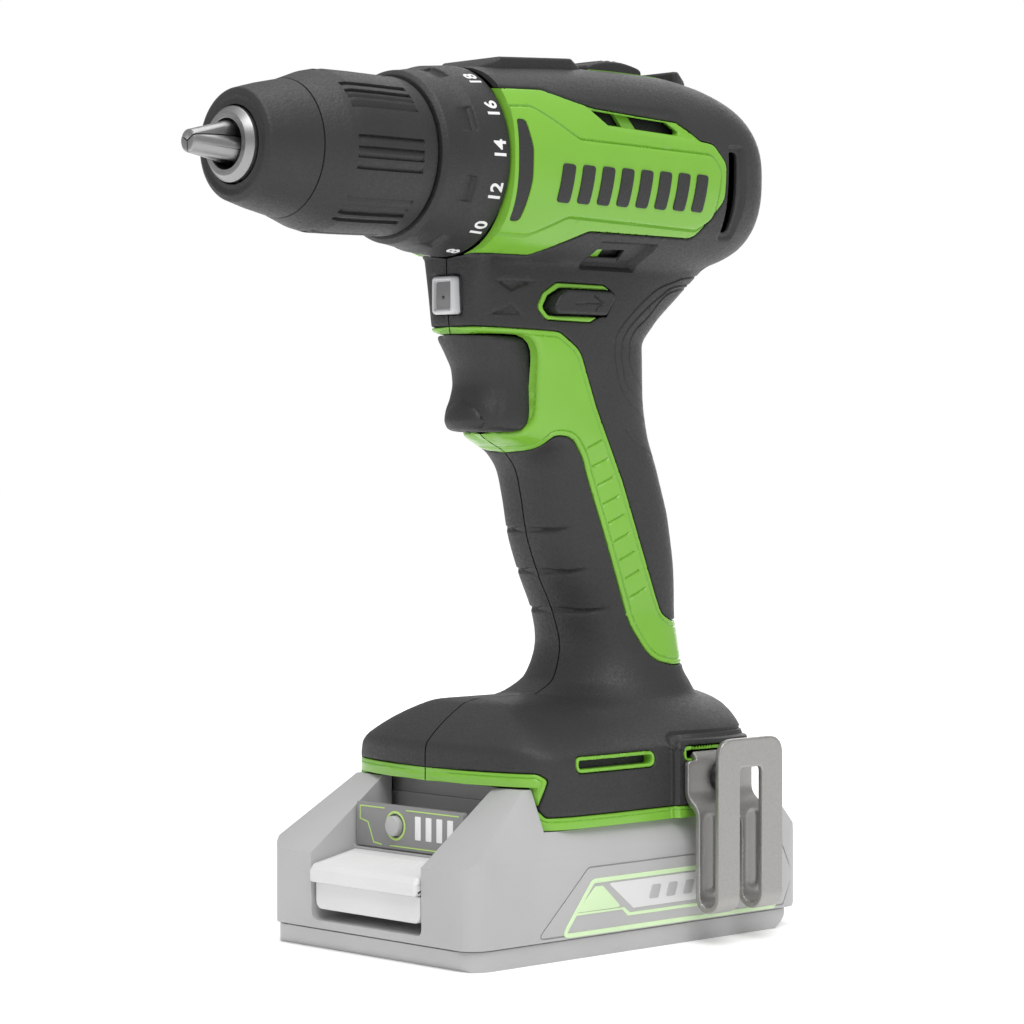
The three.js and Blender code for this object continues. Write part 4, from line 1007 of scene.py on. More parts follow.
def make_chuck():
    """The sleeve, nose cap, body and jaws."""
    front, rear = CAP_HIGH[0] + 0.22, SLEEVE_HIGH[0]
    sleeve_profile = rounded([(front, 15.2, 0), (front, 17.05, 0.2), (-85.5, 17.95, 4), (-81.4, 19.4, 5),
                              (-77.8, 20.12, 6), (-70, 20.15, 8), (rear, 19.9, 0.5), (rear, 17.4, 0),
                              (-76, 17.4, 0), (-76, 15.2, 0)], 1, 6)
    sleeve_profile = resample(sleeve_profile, 0.7)
    cut_at = [GROOVES_X[0] + d for d in (0.05, 0.4, 0.8)] + [GROOVES_X[1] - d for d in (0.3, 0.2, 0.1, 0.02)]
    sleeve_profile = with_stations(sleeve_profile, cut_at, 18.5)
    sleeve = turned("chuck_sleeve_skin", sleeve_profile, sleeve_angles(), sleeve_relief, 25)
    finish_piece(sleeve, "chuck_sleeve", "black_nylon", "chuck_sleeve")

    tip, seam = CAP_LOW[0], CAP_HIGH[0]
    cap_profile = rounded([(seam, 13, 0), (seam, 16.95, 0.2), (-96, 15.35, 6), (-102.1, 13.75, 1.3),
                           (tip, 12.3, 0.8), (tip + 0.3, 10.8, 0.6), (tip + 0.1, 9.6, 0.2),
                           (tip + 1.3, 9.7, 0), (tip + 1.7, 11.9, 0)], 0.3, 8)
    cap = turned("chuck_nose_cap_skin", resample(cap_profile, 0.8), even_angles(192), sharp=40)
    finish_piece(cap, "chuck_sleeve", "black_nylon", "chuck_nose_cap")

    nose = CHUCK_LOW[0]
    body_profile = rounded([(nose, 6.2, 0.15), (nose, 7.7, 0.3), (-103.6, 9.2, 0.4), (-101.0, 9.25, 0.1),
                            (-100.4, 11.1, 0.2), (-84.5, 12.1, 0), (-84.5, 10.6, 0), (-77.5, 10.6, 0),
                            (-77.5, 14, 0), (-57, 14, 0), (-57, 5.6, 0), (-73, 5.6, 0), (-73, 3.4, 0),
                            (-76, 3.4, 0), (-76, 5.7, 0), (-100, 5.7, 0)], 0.2, 6)
    body = turned("chuck_body_turned", resample(body_profile, 3), even_angles(160))
    bores = [slanted_rod(f"bore_{i}", JAW_R + 0.35, -125, -50, turn) for i, turn in enumerate(JAW_TURNS)]
    boolean(body, bores)
    smooth(body, 30)
    finish_piece(body, "spindle", "bright_steel", "chuck_body", material=JAW_STEEL)

    cone = turned_solid("cone", rounded([(JAW_TIP_X, 0, 0), (JAW_TIP_X, 2.3, 0), (JAW_TIP_X + 0.55, 2.95, 0),
                                         (-105.2, 5.65, 0), (-104, 5.72, 0), (-94, 40, 0), (-60, 40, 0),
                                         (-60, 0, 0)], 0.5, 5))
    for i, turn in enumerate(JAW_TURNS):
        jaw = slanted_rod(f"chuck_jaw_{i + 1}_ground", JAW_R, JAW_TIP_X - 8, JAW_TAIL_X + 6, turn)
        wedge = jaw_wedge(turn)
        boolean(jaw, [wedge], "INTERSECT")
        boolean(jaw, [copy_of(cone)], "INTERSECT")
        bevel(jaw, 0.16, 2, 35, 35)
        finish_piece(jaw, f"jaw_{i + 1}", "bright_steel", f"chuck_jaw_{i + 1}", material=JAW_STEEL)
    drop(cone)


def with_stations(profile, stations, above):
    """Adds exact x stations to the outer part of a closed profile."""
    out = []
    for (xa, ra), (xb, rb) in zip(profile, np.roll(profile, -1, axis=0)):
        out.append((xa, ra))
        if min(ra, rb) > above:
            inner = [x for x in stations if min(xa, xb) < x < max(xa, xb)]
            inner.sort(reverse=bool(xb < xa))
            out += [(x, ra + (rb - ra) * (x - xa) / (xb - xa)) for x in inner]
    return np.array(out)


JAW_ANGLE, JAW_R, JAW_OFFSET, JAW_TAIL_X = math.radians(14), 2.9, 2.55, -80
JAW_TURNS = [i * 2 * math.pi / 3 for i in range(3)]


def slanted_rod(name, r, x0, x1, turn, count=64):
    """A rod along one jaw's slanted line."""
    line = lambda x: JAW_OFFSET + (x - CHUCK_LOW[0]) * math.tan(JAW_ANGLE)
    up = np.array([-math.sin(JAW_ANGLE), 0, math.cos(JAW_ANGLE)])
    side = np.array([0, 1, 0])
    a = even_angles(count)[:, None]
    ring = r * (np.cos(a) * up + np.sin(a) * side)
    rings = []
    for x in np.linspace(x0, x1, 2):
        rings.append(ring + np.array([x, 0, line(x)]))
    spun = [r @ np.array(Matrix.Rotation(turn, 3, "X")).T + (0, 0, AXIS_Z) for r in rings]
    return loft(name, spun)


def jaw_wedge(turn):
    """The third of space that belongs to one jaw."""
    half, keep, reach = math.pi / 3, 0.17, 40
    apex = keep / math.sin(half)
    corner = [(0, apex), (reach * math.sin(half), apex + reach * math.cos(half)),
              (-reach * math.sin(half), apex + reach * math.cos(half))]
    spin = np.array(Matrix.Rotation(turn, 3, "X")).T
    rings = [np.array([(x, y, z) for y, z in corner]) @ spin + (0, 0, AXIS_Z) for x in (-140, JAW_TAIL_X)]
    return loft("wedge", rings)


def turned_solid(name, profile, count=96):
    """A solid turned about the spindle's axis from a profile that starts and ends on it."""
    angles = even_angles(count)
    inner = [p for p in profile if p[1] > 1e-6]
    rings = [around_axis(np.full(count, x), np.full(count, r), angles) for x, r in inner]
    return loft(name, rings)


def copy_of(piece):
    """A second piece with its own copy of the mesh."""
    twin = piece.copy()
    twin.data = piece.data.copy()
    bpy.context.scene.collection.objects.link(twin)
    return twin


# ---------------------------------------------------------------- torque collar
PAD_STEP = math.pi / 4
LABEL_STEP = math.radians(231 / 9)
FIRST_LABEL = math.radians(54.5)  # the highest number stands just left of the top
LABEL_X = -37.2


def collar_relief(x, r, angles):
    """Flat pads sunk into the collar's front half."""
    if r < 21.3 or not -51.4 < x < -43.2:
        return np.zeros(len(angles))
    share = np.mod(angles - PAD_STEP / 2, PAD_STEP)
    share = np.where(share > PAD_STEP / 2, share - PAD_STEP, share)
    flat = 22.15 / np.cos(share)
    inside_pad = ease((math.radians(8.7) - np.abs(share)) / math.radians(0.8))
    ends = ease((x + 51.3) / 0.5) * ease((-43.2 - x) / 0.9)
    return np.minimum(flat - r, 0) * inside_pad * ends


def make_collar():
    """The torque collar with its numbers and drilling mark."""
    front, rear = COLLAR_LOW[0], COLLAR_HIGH[0]
    profile = rounded([(front, 18.4, 0), (front, 20.6, 0.5), (-52.3, 21.75, 0.9), (-49.6, 22.05, 2),
                       (-45.6, 22.75, 2), (-42.8, 23.55, 2), (-36.4, 24.15, 3), (rear, 24.3, 0.3),
                       (rear, 21, 0), (-50.8, 20, 0), (-50.8, 18.4, 0)], 0.4, 6)
    profile = with_stations(resample(profile, 0.8), (-51.3, -50.8, -43.6, -43.3), 21.3)
    angles = list(even_angles(180))
    for k in range(8):
        for d in (-8.7, -8.3, -7.9, 7.9, 8.3, 8.7):
            angles.append((k + 0.5) * PAD_STEP + math.radians(d))
    angles = np.array(sorted(set(np.round(np.mod(angles, 2 * np.pi), 4))))
    collar = turned("torque_collar_skin", profile, angles, collar_relief, 25)
    finish_piece(collar, "torque_collar", "black_nylon", "torque_collar")
    labels = [str(n) for n in range(18, 0, -2)]
    for k, text in enumerate(labels):
        piece = wrapped_text(f"dial_number_{text}", text, 3.7, FIRST_LABEL - k * LABEL_STEP)
        finish_piece(piece, "torque_collar", "light_plastic", material=WHITE_INK)
    bit = rounded([(-1.9, -0.55), (1.2, -0.55), (2.0, 0), (1.2, 0.55), (-1.9, 0.55), (-2.5, 0.95),
                   (-3.4, 0.95), (-3.4, -0.95), (-2.5, -0.95)], 0.12, 3)
    angle = FIRST_LABEL - len(labels) * LABEL_STEP
    piece = slab("dial_drill_mark", resample(bit, 0.5), -0.1, 0.1,
                 lambda flat, h: on_collar(flat[:, 0], flat[:, 1], h, angle), 0.03)
    finish_piece(piece, "torque_collar", "light_plastic", material=WHITE_INK)


def on_collar(u, v, h, angle):
    """Places flat lettering (u along, v up) on the collar with its top towards the chuck."""
    x = LABEL_X - v
    r = np.interp(x, [-42.8, -36.4, COLLAR_HIGH[0]], [23.5, 24.12, 24.28]) + h
    return around_axis(x, r, angle + u / 24.0)


def wrapped_text(name, text, size, angle):
    """Raised lettering in the built-in face, wrapped round the collar."""
    data = bpy.data.curves.new(name, "FONT")
    data.body = text
    data.size = size * 1.38 * MM
    data.align_x = "CENTER"
    data.extrude = 0.09 * MM
    data.offset = 0.12 * MM
    data.resolution_u = 6
    holder = bpy.data.objects.new(name, data)
    bpy.context.scene.collection.objects.link(holder)
    bpy.context.view_layer.update()
    evaluated = holder.evaluated_get(bpy.context.evaluated_depsgraph_get())
    mesh = bpy.data.meshes.new_from_object(evaluated)
    bpy.data.objects.remove(holder)
    work = bmesh.new()
    work.from_mesh(mesh)
    bmesh.ops.remove_doubles(work, verts=work.verts, dist=1e-6)
    for u in np.arange(-4, 4.01, 0.8):
        geometry = work.verts[:] + work.edges[:] + work.faces[:]
        bmesh.ops.bisect_plane(work, geom=geometry, plane_co=(u * MM, 0, 0), plane_no=(1, 0, 0))
    for vert in work.verts:
        u, v, h = np.array(vert.co) / MM
        vert.co = on_collar(np.array(u), np.array(v - size / 2), h + 0.02, angle) * MM
    work.to_mesh(mesh)
    work.free()
    piece = bpy.data.objects.new(name, mesh)
    bpy.context.scene.collection.objects.link(piece)
    smooth(piece, 30)
    return outward(piece)


# ---------------------------------------------------------------- controls
def wound(flat, triangles):
    """Flat triangles, all of them turned anticlockwise."""
    first, second, third = (flat[triangles[:, k]] for k in range(3))
    turn = np.cross(second - first, third - first)
    return np.where((turn < 0)[:, None], triangles[:, ::-1], triangles)


def pillow(name, outline, half, relief=(), spacing=0.7, closing=None):
    """A closed body, alike on both sides, whose half width is given over its side outline."""
    outline = resample(outline, spacing)
    points = [around(outline, [-0.004, -0.03, -0.1, -0.25, -0.5, -0.85, -1.3, -1.9])]
    for item in relief:
        points.append(around(item["line"], item["offsets"], item["closed"]))
    spread = hexagonal(outline.min(0), outline.max(0), spacing)
    spread = spread[distance(spread, outline, reach=2)[0] > 1.7]
    points = thinned(np.concatenate(points + [spread]), 0.03)
    points = points[inside(points, outline)]
    flat, triangles = mesh_plane([(outline, True)], points)
    triangles = triangles[inside(flat[triangles].mean(1), outline)]
    width = half(flat[:, 0], flat[:, 1])
    triangles = wound(flat, triangles)
    for item in relief:
        far, along = distance(flat, item["line"], item["closed"], 4)
        change = item["height"](far, along)
        if item.get("inner"):
            change = np.where(inside(flat, item["line"]), change, 0)
        width = width + change
    rim = distance(flat, outline, reach=0.1)[0] < 1e-4
    if closing is not None:
        width = np.where(rim & (distance(flat, closing, False, 0.1)[0] < 1e-3), 0, width)
    sides = [np.stack([flat[:, 0], s * width, flat[:, 1]], 1) for s in (-1, 1)]
    count = len(flat)
    edges = np.concatenate([triangles[:, [0, 1]], triangles[:, [1, 2]], triangles[:, [2, 0]]])
    key = edges[:, 0] * count + edges[:, 1]
    border = edges[~np.isin(key, edges[:, 1] * count + edges[:, 0])]
    walls = np.concatenate([
        np.stack([border[:, 1], border[:, 0], border[:, 0] + count], 1),
        np.stack([border[:, 1], border[:, 0] + count, border[:, 1] + count], 1),
    ])
    faces = np.concatenate([triangles, triangles[:, ::-1] + count, walls])
    return outward(weld(name, np.concatenate(sides), faces))


def rim_round(line, radius):
    """Relief that rounds off a flat face towards an outline, by a given radius."""
    def height(far, along):
        share = np.clip(1 - far / radius, 0, 1)
        return -radius * (1 - np.sqrt(1 - share**2))
    offsets = [-radius * k for k in (0.05, 0.15, 0.3, 0.5, 0.75, 1)]
    return {"line": line, "closed": True, "offsets": offsets, "height": height}


TRIGGER_LOW, TRIGGER_HIGH = cad("trigger")
TRIGGER_SHIFT = 2.0
TRIGGER_FRONT = curve([(131.4, -26.4), (131.7, -29.0), (132.9, -31.2), (134.6, -31.9), (137, -31.3),
                       (140, -29.9), (144, -28.9), (147.3, -29.3), (151, -31.2), (156.1, -34.6)])


def make_trigger():
    """The trigger's finger pad and the stem behind it."""
    top, bottom = TRIGGER_HIGH[2] + 0.3, TRIGGER_LOW[2]
    zs = np.linspace(131.4, top, 60)
    front = np.stack([TRIGGER_FRONT(zs) + TRIGGER_SHIFT, zs], 1)
    back = rounded([(-30, top + 1), (-13.9, top, 6), (-13.9, bottom, 6), (-26.4, bottom, 2),
                    (-30, bottom - 1)],
                   1, 8)[1:-1]
    rear = back[(back[:, 1] <= top) & (back[:, 1] >= bottom)]
    outline = np.concatenate([front, rear])
    half = TRIGGER_HIGH[1] + 0.2

    def width(x, z):
        depth = x - TRIGGER_FRONT(z) - TRIGGER_SHIFT
        return half * oval(1 - np.clip(depth / 12.5, 0, 1), 2.1) + 0.02

    edge = resample(outline, 0.7)
    hollow = groove([(-24.4, 155.5), (-23.2, 150), (-22.8, 144), (-23.4, 138), (-25.4, 133)], 1.1, 0.28,
                    taper=0.2)
    flank = edge[edge[:, 0] > TRIGGER_FRONT(edge[:, 1]) + TRIGGER_SHIFT + 0.5]
    rounding = rim_round(flank, 1.5)
    rounding["closed"] = False
    rounding["offsets"] = [-o for o in rounding["offsets"]] + rounding["offsets"]
    piece = pillow("trigger_finger_pad", outline, width, [rounding, hollow], closing=front)
    stem = slab("trigger_stem", rectangle(139, -5, 150, 5, 0.8), 4.7, 14.6,
                lambda flat, h: np.stack([np.full(len(flat), -h), flat[:, 1], flat[:, 0]], 1), 0.4)
    finish_piece(piece, "trigger", "black_nylon", "trigger")
    finish_piece(stem, "trigger", "black_nylon")


def make_direction_button():
    """The button that sets the turning direction."""
    outline = rounded([(-11.7, 163.4), (-9.8, 166.4), (-6.6, 168.1), (9.4, 168.0), (11.2, 166.9),
                       (7.5, 161.8), (-10.4, 161.8)], 1.5, 8)
    reach = cad("direction_button")[1][1]
    edge = resample(outline, 0.5)
    arrow = [groove([(-4.4, 164.5), (5.0, 164.9)], 0.36, 0.3),
             groove([(2.6, 166.8), (5.9, 164.9), (3.2, 163.0)], 0.42, 0.5)]
    dome = lambda x, z: np.full(len(x), reach - 0.4) - ((x + 3) / 60) ** 2 * 8
    piece = pillow("direction_button_cap", outline, dome, [rim_round(edge, 0.8), *arrow], 0.5)
    finish_piece(piece, "direction_button", "black_nylon", "direction_button")


def make_selector():
    """The speed selector on the crown."""
    x0, x1 = SELECTOR_LOW[0], SELECTOR_HIGH[0]
    half, top = SELECTOR_HIGH[1], SELECTOR_HIGH[2]
    base = resample(rectangle(x0, -half, x1, half, 2.2), 0.6)
    center = (x0 + x1) / 2

    def crown(x, y):
        level = top - 1.7 * ((x - center) / 10.5) ** 2 - 0.05 * (y / half) ** 2
        ribs = sum(np.exp(-(((x - center - d) / 0.55) ** 2)) for d in (-6, -3.6, -1.2, 1.2, 3.6, 6))
        return level + 0.35 * np.clip(ribs, 0, 1) * ease((half - 1.3 - np.abs(y)) / 0.5) - 0.35

    xs, ys = np.arange(x0 + 1.2, x1 - 1.1, 0.3), np.arange(-half + 1.2, half - 1.1, 0.45)
    spread = np.stack(np.meshgrid(xs, ys), -1).reshape(-1, 2)
    rims = [-0.05, -0.2, -0.45, -0.8]
    flat, triangles = mesh_plane([(base, True)], np.concatenate([around(base, rims), spread]))
    triangles = triangles[inside(flat[triangles].mean(1), base)]
    far = distance(flat, base, reach=1.2)[0]
    drop_off = 0.9 * (1 - np.sqrt(1 - np.clip(1 - far / 0.9, 0, 1) ** 2))
    tops = np.column_stack([flat, crown(*flat.T) - drop_off])
    bottoms = np.column_stack([flat, np.full(len(flat), SELECTOR_LOW[2])])
    piece = shell_between("speed_selector_cap", tops, bottoms, triangles)
    finish_piece(piece, "speed_selector", "black_nylon", "speed_selector")


def shell_between(name, upper, lower, triangles):
    """A closed mesh between two sheets that share their triangles."""
    count = len(upper)
    edges = np.concatenate([triangles[:, [0, 1]], triangles[:, [1, 2]], triangles[:, [2, 0]]])
    key = edges[:, 0] * count + edges[:, 1]
    border = edges[~np.isin(key, edges[:, 1] * count + edges[:, 0])]
    walls = np.concatenate([
        np.stack([border[:, 1], border[:, 0], border[:, 0] + count], 1),
        np.stack([border[:, 1], border[:, 0] + count, border[:, 1] + count], 1),
    ])
    faces = np.concatenate([triangles, triangles[:, ::-1] + count, walls])
    return outward(weld(name, np.concatenate([upper, lower]), faces))


def make_lamp():
    """The work lamp: its light grey lens with a painted highlight on its rim, a dark grey pane of painted
    shade for the dim inside seen through the clear lens, and its chip.
    """
    low, high = LENS_LOW, LENS_HIGH
    outline = resample(rectangle(low[1], low[2], high[1], high[2], 1.4), 0.4)
    front, back = -low[0], -high[0]
    steps = [(0.0, back), (0.0, front - 0.9), (0.12, front - 0.5), (0.4, front - 0.15), (0.75, front - 0.02),
             (1.1, front - 0.12), (1.2, front - 0.45), (1.3, front - 0.75)]
    rings = [facing_front(grown(outline, -inset), h) for inset, h in steps]
    lens = loft("lamp_lens_ground", rings, 25)
    finish_piece(lens, "housing", "clear_lens", "lamp_lens")
    # A dark grey pane of painted shade: it stands for the dim inside of the lamp seen through the clear lens.
    pane = resample(rectangle(low[1] + 1.5, low[2] + 1.5, high[1] - 1.5, high[2] - 1.5, 0.6), 0.4)
    finish_piece(slab("lamp_painted_shade_pane", pane, front - 1.2, front - 0.55, facing_front, 0.15), "housing",
                 "clear_lens", material=LAMP_PAINTED_SHADE)
    dot = even_angles(24)
    middle = (low[2] + high[2]) / 2 - 0.6
    led = [facing_front(np.stack([r * np.cos(dot), middle + r * np.sin(dot)], 1), h)
           for r, h in ((0.5, front - 0.9), (0.5, front - 0.5), (0.35, front - 0.4), (0.1, front - 0.38))]
    finish_piece(loft("lamp_chip", led), "housing", "dark_steel")


# ---------------------------------------------------------------- pieces that lie on the body's side
def side_plate(name, outline, lift, depth, side, slot, lips=0.2, spacing=0.8, material=None):
    """A plate that follows the body's side: its face is lift above it and its back depth below it."""
    outline = resample(outline, spacing)
    points = [around(outline, [-lips * k for k in (0.1, 0.35, 0.65, 1)])]
    spread = hexagonal(outline.min(0), outline.max(0), spacing)
    points.append(spread[distance(spread, outline, reach=1)[0] > lips + spacing / 3])
    points = np.concatenate(points)
    points = thinned(points[inside(points, outline)], 0.03)
    flat, triangles = mesh_plane([(outline, True)], points)
    triangles = triangles[inside(flat[triangles].mean(1), outline)]
    triangles = wound(flat, triangles)
    half = SEAM + half_width(*flat.T)
    far = distance(flat, outline, reach=1)[0]
    share = np.clip(1 - far / lips, 0, 1)
    outer = half + lift - lips * (1 - np.sqrt(1 - share**2))
    upper = np.stack([flat[:, 0], side * outer, flat[:, 1]], 1)
    lower = np.stack([flat[:, 0], side * np.maximum(SEAM, half - depth), flat[:, 1]], 1)
    piece = shell_between(name, upper, lower, triangles)
    smooth(piece, 30)
    return finish_piece(piece, "housing", slot, material=material)


def make_body_marks(side, label):
    """Plain slanted bars on the side panel, and floors behind the body's slots and vents."""
    for k in range(8):
        x = -19.6 + k * 7.0
        bar = rounded([(x, 189.4), (x + 4.4, 189.2), (x + 5.8, 199.0), (x + 1.4, 199.2)], 1.0)
        side_plate(f"panel_bar_{k + 1}_{label}", bar, 0.45 + 0.4, -0.2, side, "black_rubber", 0.25)
    side_plate(f"vent_liner_{label}", rounded([(-8, 171), (-8, 209.8), (36, 208.4), (39, 196), (7, 190),
                                               (7, 171)], 2),
               -3.6, 4.8, side, "green_plastic", 0.3, 2.0)
    slots = [FOOT_SLOT] + ([PAD_SLOT] if side > 0 else [])
    for k, slot in enumerate(slots):
        side_plate(f"slot_floor_{k + 1}_{label}", grown(slot, 1.2), -3.4, 4.4, side, "black_nylon", 0.2, 1.0)
    vent_back = rounded([(0, 174.3), (0, 180.3), (16, 180.3), (16, 174.3)], 1)
    side_plate(f"vent_back_{label}", vent_back, -5.5, 6.5, side, "black_nylon", 0.3, 1.0)
    side_plate(f"window_back_{label}", grown(SIDE_WINDOW, 1.6), -5.0, 5.8, side, "black_nylon", 0.2, 1.0)
    rib = np.array([(4.4, 215.4), (8.8, 215.2), (12.7, 209.2), (7.6, 209.3)])
    side_plate(f"window_rib_{label}", rib, -3.25, 4.4, side, "green_plastic", 0.2, 1.0)
    stripe_back = rectangle(-13.2, 150, 2, 158.8, 1)
    side_plate(f"stripe_back_{label}", stripe_back, -3.25, 4.2, side, "black_nylon", 0.2, 1.0)
    side_plate(f"button_well_{label}", grown(BUTTON_RIM, 1.2), -3.4, 4.2, side, "black_nylon", 0.2, 1.0)


def make_crown():
    """Raised blocks on the crown, ahead of the selector and behind it."""
    start, end = CHANNEL[0] - 0.4, CHANNEL[1] + 0.4
    side_views = {
        "crown_block_front": [(-30, 220), (-30, 223.8), (-24.4, 226.9), (start - 8.6, 228.4),
                              (start - 3, 226.8), (start, 220)],
        "crown_block_rear": [(end, 220), (end, 228.4), (44, 228.6), (48.4, 226.6), (51.5, 220)],
    }
    plans = {
        "crown_block_front": [(-31, -5), (-25, -11), (start - 9.5, -11.5), (start, -7), (start, 7),
                              (start - 9.5, 11.5), (-25, 11), (-31, 5)],
        "crown_block_rear": [(end - 1, -9.5), (43, -9), (53, -4.5), (53, 4.5), (43, 9), (end - 1, 9.5)],
    }
    for name, side_view in side_views.items():
        piece = prism(name, side_view, -14, 14)
        boolean(piece, [prism("plan", plans[name], 215, 235, facing_up)], "INTERSECT")
        finish_piece(bevel(piece, 0.9, 4), "housing", "black_rubber")
    xs = np.linspace(53.0, 59.6, 9)
    upper = np.stack([xs, TOP(xs) + 0.45], 1)
    lower = np.stack([xs[::-1], TOP(xs[::-1]) - 2.5], 1)
    accent = prism("crown_accent", np.concatenate([upper, lower]), -8.0, 8.0)
    finish_piece(bevel(accent, 0.4), "housing", "green_plastic")


def make_selector_tray():
    """The green channel that the speed selector slides in."""
    x0, x1, half = CHANNEL
    floor_z = SELECTOR_LOW[2] - 0.3
    rim = resample(rectangle(x0 + 0.15, -half + 0.15, x1 - 0.15, half - 0.15, 1.2), 1)
    inner = grown(rim, -0.35)
    heights = lambda flat: np.array([TOP(x) for x in flat[:, 0]]) - 0.25
    up = lambda flat, z: np.column_stack([flat, z])
    rings = [up(rim, np.full(len(rim), floor_z - 0.8)), up(rim, heights(rim)), up(inner, heights(inner)),
             up(inner, np.full(len(rim), floor_z)), up(grown(inner, -2), np.full(len(rim), floor_z))]
    finish_piece(loft("selector_tray", rings), "housing", "green_plastic")


def plan_slab(name, z0, z1, x0, x1, inset, slot):
    """A level slab that fills the body's plan between two heights, a little inside its surface."""
    xs = np.linspace(x0, x1, 26)
    width = np.minimum(half_width(xs, np.full(len(xs), z0)), half_width(xs, np.full(len(xs), z1))) - inset
    keep = width > 0.6
    xs, width = xs[keep], width[keep]
    outline = np.concatenate([np.stack([xs, -width], 1), np.stack([xs, width], 1)[::-1]])
    finish_piece(slab(name, resample(outline, 1.2), z0, z1, facing_up, 0.2), "housing", slot)


# ---------------------------------------------------------------- clip and screws
CLIP_LOW, CLIP_HIGH = cad("belt_clip")
CLIP_SLOT = (22.0, 30.4)
CLIP_THICK = 1.6
CLIP_SCREW = (26.2, 42.2)


def clip_path():
    """The middle line of the bent strip as (y, z), from the tab's top to the bridge's top, finely divided."""
    bend = [(-47 + 3.4 * math.cos(a), 12.4 - 3.4 * math.sin(a)) for a in np.linspace(0, math.pi, 24)]
    line = np.array([(-38.2, 48.6), *open_rounded([(-39.7, 47.4, 1.0), (-39.7, 37.2, 2.2),
                                                   (-43.6, 34.2, 2.2)],
                                                 (-38.2, 48.6), (-43.6, 12.5)), *bend, (-50.4, 53)])
    return resample(line, 0.5, closed=False)


def open_rounded(corners, start, end, steps=8):
    """The rounded corners of an open line."""
    points = [start, *[c[:2] for c in corners], end]
    out = []
    for i, corner in enumerate(corners):
        before, here, after = (np.array(points[i + k], float) for k in range(3))
        a, b = before - here, after - here
        la, lb = np.linalg.norm(a), np.linalg.norm(b)
        reach = min(corner[2], la * 0.49, lb * 0.49)
        start_point, end_point = here + a / la * reach, here + b / lb * reach
        for t in np.linspace(0, 1, steps):
            out.append((1 - t) ** 2 * start_point + 2 * t * (1 - t) * here + t * t * end_point)
    return out


def make_clip():
    """The belt clip, bent from one strip."""
    path = clip_path()
    along = np.concatenate([[0], np.cumsum(np.hypot(*np.diff(path, axis=0).T))])
    length = along[-1]
    normals = normals_of(path, closed=False)
    down = lambda z: np.interp(-z, -path[:np.argmin(path[:, 1]), 1], along[:np.argmin(path[:, 1])])
    low = np.argmin(path[:, 1])
    rise = lambda z: np.interp(z, path[low:, 1], along[low:])
    x0, x1 = CLIP_LOW[0], CLIP_HIGH[0]
    s0, s1 = CLIP_SLOT
    hook_left = x0 + 3.2
    outline = rounded([(hook_left, 0, 0.6), (hook_left, 2.2, 0.3), (x0, 2.4, 1.2), (x0, length, 5.2),
                       (x1, length, 5.2), (x1, 2.4, 1.2), (x1 - 3.2, 2.2, 0.3), (x1 - 3.2, 0, 0.6)], 1, 8)
    slot = rounded([(s0, down(33), 4.1), (s1, down(33), 4.1), (s1, rise(45.4), 1.4), (s0, rise(45.4), 1.4)],
                   1, 9)
    hole = circle((CLIP_SCREW[0], down(CLIP_SCREW[1])), 2.0, 24)
    channels = []
    for a, b in ((x0, s0), (s1, x1)):
        inset = 1.5
        channels.append(rounded([(a + inset, down(33.5)), (b - inset, down(33.5)), (b - inset, down(13.0)),
                                 (a + inset, down(13.0))], 2.4, 8))
    lines = [resample(line, 0.7) for line in (outline, slot, hole)]
    rims = [0.04, 0.16, 0.4]
    points = [around(lines[0], [-r for r in rims])] + [around(line, rims) for line in lines[1:]]
    points += [around(resample(c, 0.7), [0, -0.3, -0.6, -0.9]) for c in channels]
    points.append(hexagonal((x0, 0), (x1, length), 0.8))
    points = thinned(np.concatenate(points), 0.05)
    points = points[inside(points, lines[0]) & ~inside(points, lines[1]) & ~inside(points, lines[2])]
    near = np.min([distance(points, line, reach=0.4)[0] for line in lines], axis=0)
    points = points[(near > 0.035)]
    flat, triangles = mesh_plane([(line, True) for line in lines], points)
    middle = flat[triangles].mean(1)
    keep = inside(middle, lines[0]) & ~inside(middle, lines[1]) & ~inside(middle, lines[2])
    triangles = triangles[keep]
    edge = np.min([distance(flat, line, reach=0.5)[0] for line in lines], axis=0)
    share = np.clip(1 - edge / 0.4, 0, 1)
    worn = 0.4 * (1 - np.sqrt(1 - share**2))
    pressed = np.zeros(len(flat))
    for c in channels:
        far = distance(flat, resample(c, 0.7), reach=1.2)[0]
        pressed += np.where(inside(flat, c), 0.55 * ease(far / 0.9), 0)
    place = np.stack([np.interp(flat[:, 1], along, path[:, k]) for k in (0, 1)], 1)
    lean = np.stack([np.interp(flat[:, 1], along, normals[:, k]) for k in (0, 1)], 1)
    sheets = []
    for sign in (1, -1):
        offset = sign * (CLIP_THICK / 2 - worn) - pressed
        yz = place + lean * offset[:, None]
        sheets.append(np.stack([flat[:, 0], yz[:, 0], yz[:, 1]], 1))
    clip = shell_between("belt_clip_pressing", sheets[0], sheets[1], triangles)
    smooth(clip, 30)
    finish_piece(clip, "housing", "bright_steel", "belt_clip", material=CLIP_STEEL)


def screw_head(name, x, z, face, r, height, side, slot, node, shank=0.0):
    """A domed round head with a six-lobed recess; side gives the way that it faces."""
    a = even_angles(72)
    disc = lambda radius: np.stack([x + radius * np.cos(a), z + radius * np.sin(a)], 1)
    lobes = 0.42 * r * (1 + 0.16 * np.cos(6 * a))
    recess = lambda k: np.stack([x + k * lobes * np.cos(a), z + k * lobes * np.sin(a)], 1)
    stations = [(disc(r * 0.5), face - height - shank), (disc(r * 0.5), face - height)] if shank else []
    stations += [(disc(r * 0.98), face - height), (disc(r), face - height * 0.6),
                 (disc(r * 0.97), face - height * 0.3), (disc(r * 0.86), face - height * 0.08),
                 (disc(r * 0.68), face), (recess(1.06), face), (recess(1.0), face - 0.08),
                 (recess(0.97), face - height * 0.7), (recess(0.3), face - height * 0.8)]
    place = on_side(side)
    piece = loft(name, [place(flat, h) for flat, h in stations], 35)
    finish_piece(piece, "housing", slot, node)


